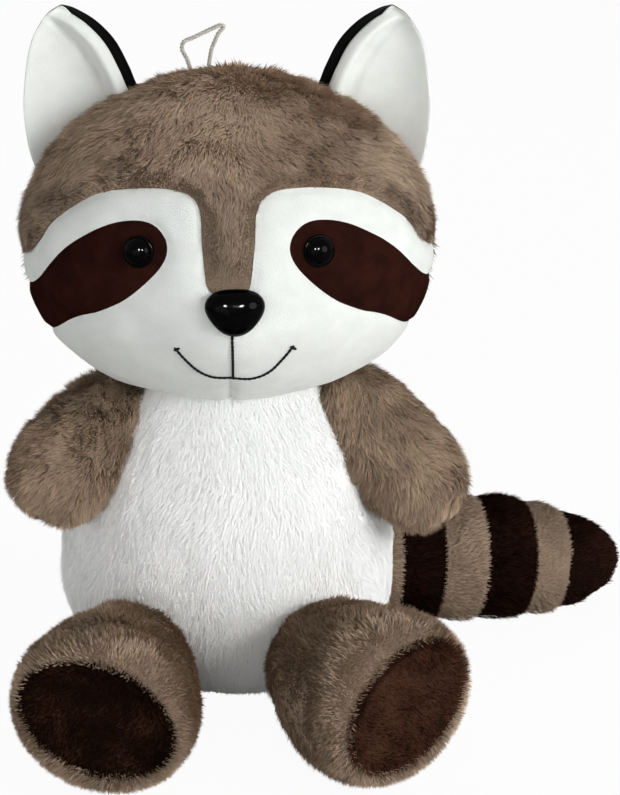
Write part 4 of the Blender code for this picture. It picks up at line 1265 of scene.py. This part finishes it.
class MakeMouth(Operator):
    """The stitched line of the mouth"""
    bl_idname = "plush.make_mouth"
    bl_label = "Mouth"

    def execute(self, context):
        lines = []
        searches = [BVHTree.FromPolygons(half.points.tolist(), half.triangles.tolist())
                    for half in FACES.values()]
        for points in MOUTH:
            path = smooth_through(points, 8)
            line = []
            for guess in face_place(path[:, 0], path[:, 1])[0]:
                near, facing, _, _ = min((search.find_nearest(Vector(guess)) for search in searches),
                                         key=lambda found: found[3])
                line.append(near + facing * THREAD_RISE)
            lines.append(line)
        look = fibre_finish("mouth thread", settings().colours.thread, 2500, sheen=0.0)
        mouth = line_object("mouth_thread", lines)
        with_nodes(mouth, stitch_tree(), {"Thread": settings().head.thread, "Material": look})
        placed(plain(mouth))
        return {"FINISHED"}


def ear_layer(side, first, depth):
    """A soft cupped layer of an ear, rounded at its rim; the first leaves a strip of the other bare."""
    toy = settings()
    limbs = toy.limbs
    rows, columns = EAR_STEPS
    inner, outer = [smooth_through(edge, 8) for edge in (EAR_INNER, EAR_OUTER)]
    width = np.linalg.norm(outer - inner, axis=1, keepdims=True)
    start = np.minimum(limbs.ear_strip / width, 0.25) if first else 0 * width
    spread = (1 - np.cos(np.linspace(0, math.pi, columns)))[None] / 2
    s = start + (1 - start) * spread
    t = np.linspace(0, 1, rows)[:, None]
    flat = inner[:, None] + (outer - inner)[:, None] * s[..., None]
    hollow = limbs.ear_cup * (1 - (2 * s - 1) ** 2) * (1 - 0.75 * t)
    edge = np.minimum(np.minimum(spread, 1 - spread) * width, (1 - t) * 0.05)
    half = limbs.ear_sheet / 2
    full = half * np.sqrt(np.clip(1 - (1 - np.clip(edge / (2.2 * half), 0, 1)) ** 2, 0, 1))
    in_from_strip = (s - start) * width
    fade = ease(t / 0.1) * (1 - ease((t - 0.62) / 0.3))
    roll = fade * sum(height * hill(in_from_strip - at, wide) for height, at, wide in EAR_FOLDS)
    layers = []
    for way in (-1, 1):
        y = limbs.ear_y + hollow + depth + half + way * full + (roll if first and way < 0 else 0)
        layers.append(np.stack([toy.head.centre[0] + side * flat[..., 0], y, flat[..., 1]], -1))
    grid = np.concatenate([layers[0], layers[1][:, ::-1]], axis=1)
    columns_own = np.concatenate([s, s[:, ::-1]], axis=1)
    return Skin.from_grid(grid, np.broadcast_to(t, columns_own.shape), columns_own, True)


class MakeEars(Operator):
    """Cupped ears of white velvet with black backs"""
    bl_idname = "plush.make_ears"
    bl_label = "Ears"

    def execute(self, context):
        toy = settings()
        tones = toy.colours
        white = velvet_finish("ear velvet", tones.white, 0.93)
        black = velvet_finish("ear back velvet", tones.black, 0.5, 0.0003, 0.3, 0.0)
        for side, name in SIDES:
            for kind, first, depth, look, slot in (
                    ("ear_front_", True, 0.0, white, "white_velvet"),
                    ("ear_back_", False, toy.limbs.ear_sheet + EAR_GAP, black, "black_velvet")):
                layer = ear_layer(side, first, depth).object(kind + name + "_velvet", look)
                placed(layer, [kind + name])
        return {"FINISHED"}


class MakeBody(Operator):
    """White belly and brown back"""
    bl_idname = "plush.make_body"
    bl_label = "Body"

    def execute(self, context):
        skin = form("body")
        seam = smooth_through(BELLY_SEAM, 6)
        outline = list(seam) + [(-FAR_OUT, seam[-1][1]), (-FAR_OUT, seam[0][1])]
        ahead = inside_by(skin.points[:, 1:3], outline)
        around = ["head", "arm_left", "arm_right", "leg_left", "leg_right", "tail"]
        belly = skin.clipped(ahead)
        belly = belly.moved(uneven(belly.points, *BELLY_SWELLS))
        belly.table[:, 2] = np.maximum(belly.table[:, 2], 0)
        furry("belly", belly, "belly", "white_fur", ["belly_panel"], around, rise=BELLY_RISE,
              depth=0.01, Stray=0.22, Wave=0.8, Swirl=1.7, Roll=0.3)
        furry("back", skin.clipped(-ahead), "back", "brown_fur", ["back_panel"], around)
        return {"FINISHED"}


class MakeArms(Operator):
    """Brown arms"""
    bl_idname = "plush.make_arms"
    bl_label = "Arms"

    def execute(self, context):
        for _, name in SIDES:
            furry("arm_" + name, form("arm_" + name), "arm", "brown_fur",
                  ["arm_front_" + name, "arm_back_" + name], ["head", "body"],
                  Wave=1.6, Swirl=2.4, Patches=1.0)
        return {"FINISHED"}


class MakeLegs(Operator):
    """Brown legs and their dark soles"""
    bl_idname = "plush.make_legs"
    bl_label = "Legs and soles"

    def execute(self, context):
        toy = settings()
        limbs = toy.limbs
        for _, name in SIDES:
            leg = form("leg_" + name)
            skin = Skin(leg.table.copy(), leg.triangles)
            rim = ease((skin.own[:, 0] - limbs.sole_rim + FOOT_BEFORE) / FOOT_FADE)[:, None]
            skin.flow = skin.flow * (1 - rim) + skin.normals() * 0.5 * rim
            furry("leg_" + name, skin, "leg", "brown_fur", ["leg_outer_" + name, "leg_inner_" + name],
                  ["body"], reach=1 - 0.35 * rim[:, 0], tone=-0.12 * rim[:, 0])
            end, along, _, across, up = leg_axes(name)
            rings, columns = SOLE_STEPS
            angle = turns(columns)[None]
            reach = np.linspace(0, 1, rings)[:, None]
            dish = limbs.sole_dish * (1 - reach ** 2) + toy.pucker * hill(1 - reach, SOLE_PUCKER_HALF)
            flat = np.stack([limbs.sole_broad * reach * np.cos(angle),
                             limbs.sole_thin * reach * np.sin(angle)], -1)
            grid = end + flat[..., :1] * across + flat[..., 1:] * up - (dish + 0 * angle)[..., None] * along
            sole = Skin.from_grid(grid, reach, angle, True)
            if sole.normals().mean(axis=0) @ along < 0:
                sole.triangles = sole.triangles[:, ::-1]
            nap = -up if up[2] > 0 else up
            brim = ease((sole.own[:, 0] - BRIM_FROM) / BRIM_FADE)[:, None]
            sole.flow = nap * (1 - brim) + unit(sole.points - end) * brim
            # Painted shade: the left sole's pile is made much darker than the right's, which is a little
            # paler, because the left one lies away from the key light on the right
            furry("sole_" + name, sole.moved(toy.under - SOLE_SUNK), "sole", "dark_fur", ["sole_" + name],
                  reach=1 + 0.7 * brim[:, 0], tone=-0.6 if name == "left" else 0.08, depth=0.8, Patches=1.0)
        return {"FINISHED"}


class MakeTail(Operator):
    """Brown and dark bands of the tail"""
    bl_idname = "plush.make_tail"
    bl_label = "Tail"

    def execute(self, context):
        def to_seam(skin):
            """Distance of each point from the nearest seam, along the tail."""
            return np.min([np.abs(skin.own[:, 0] - seam) for seam in TAIL_SEAMS[1:-1]], axis=0) * TAIL_LENGTH

        skin = form("tail")
        t = skin.own[:, 0]
        skin = skin.moved(-TAIL_DIP * hill(to_seam(skin), TAIL_DIP_HALF))
        skin.table[:, 2] = np.maximum(skin.table[:, 2], 0)
        bands = [np.minimum(t - low, high - t) for low, high in zip(TAIL_SEAMS, TAIL_SEAMS[1:])]
        light, dark = [skin.clipped(np.max(bands[first::2], axis=0)) for first in (0, 1)]
        browner = ease((dark.own[:, 0] - TAIL_TIP) / TAIL_TIP_REACH)
        for name, band, slot, nodes, values in (
                ("tail_light", light, "brown_fur",
                 ["tail_root_band", "tail_light_band_1", "tail_light_band_2"],
                 {"tone": -0.75 * (light.own[:, 0] > TAIL_SEAMS[4])}),
                ("tail_dark", dark, "dark_fur", ["tail_dark_band_1", "tail_dark_band_2", "tail_tip"],
                 {"tone": 0.7 * browner - 0.05, "depth": 0.8})):
            furry(name, band, name, slot, nodes, ["body"], rise=-TAIL_UNDER,
                  reach=0.45 + 0.55 * ease(to_seam(band) / TAIL_GROWN), **values)
        return {"FINISHED"}


class FinishInside(Operator):
    """Materials of the stuffing and washers inside"""
    bl_idname = "plush.finish_inside"
    bl_label = "Stuffing and washers"

    def execute(self, context):
        tones = settings().colours
        fibre = fibre_finish("stuffing fibre", tones.stuffing, 260)
        disc = fibre_finish("washer plastic", tones.washer, 600, 0.35, 0.00003)
        for name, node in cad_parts.items():
            look = fibre if "filling" in name else disc if "washer" in name else None
            if look:
                for slot in node.material_slots:
                    slot.material = look
        return {"FINISHED"}


class PlushPanel(Panel):
    """The steps that make the plush raccoon, and its settings"""
    bl_idname = "PLUSH_PT_raccoon"
    bl_label = "Plush raccoon"
    bl_space_type = "VIEW_3D"
    bl_region_type = "UI"
    bl_category = "Plush raccoon"

    def draw(self, context):
        toy = context.scene.plush_raccoon
        for step in STEPS:
            self.layout.operator(step.bl_idname)
        for key in ("under", "pucker", "seed"):
            self.layout.prop(toy, key)
        for key in ("head", "body", "limbs", "colours", *COATS):
            box = self.layout.box()
            group = getattr(toy, key)
            box.label(text=key.replace("_", " ").capitalize())
            for field in type(group).__annotations__:
                box.prop(group, field)


STEPS = (MakeStage, MakeLoop, MakeFace, MakeHeadFur, MakeEyesAndNose, MakeMouth, MakeEars, MakeBody,
         MakeArms, MakeLegs, MakeTail, FinishInside)
GROUPS = (HeadSizes, BodySizes, LimbSizes, Colours, *COATS.values(), PlushSettings)


def register():
    for kind in GROUPS + STEPS + (PlushPanel,):
        bpy.utils.register_class(kind)
    bpy.types.Scene.plush_raccoon = PointerProperty(type=PlushSettings)


def unregister():
    del bpy.types.Scene.plush_raccoon
    for kind in reversed(GROUPS + STEPS + (PlushPanel,)):
        bpy.utils.unregister_class(kind)


def main():
    register()
    for step in STEPS:
        family, name = step.bl_idname.split(".")
        getattr(getattr(bpy.ops, family), name)()


if __name__ == "__main__":
    main()
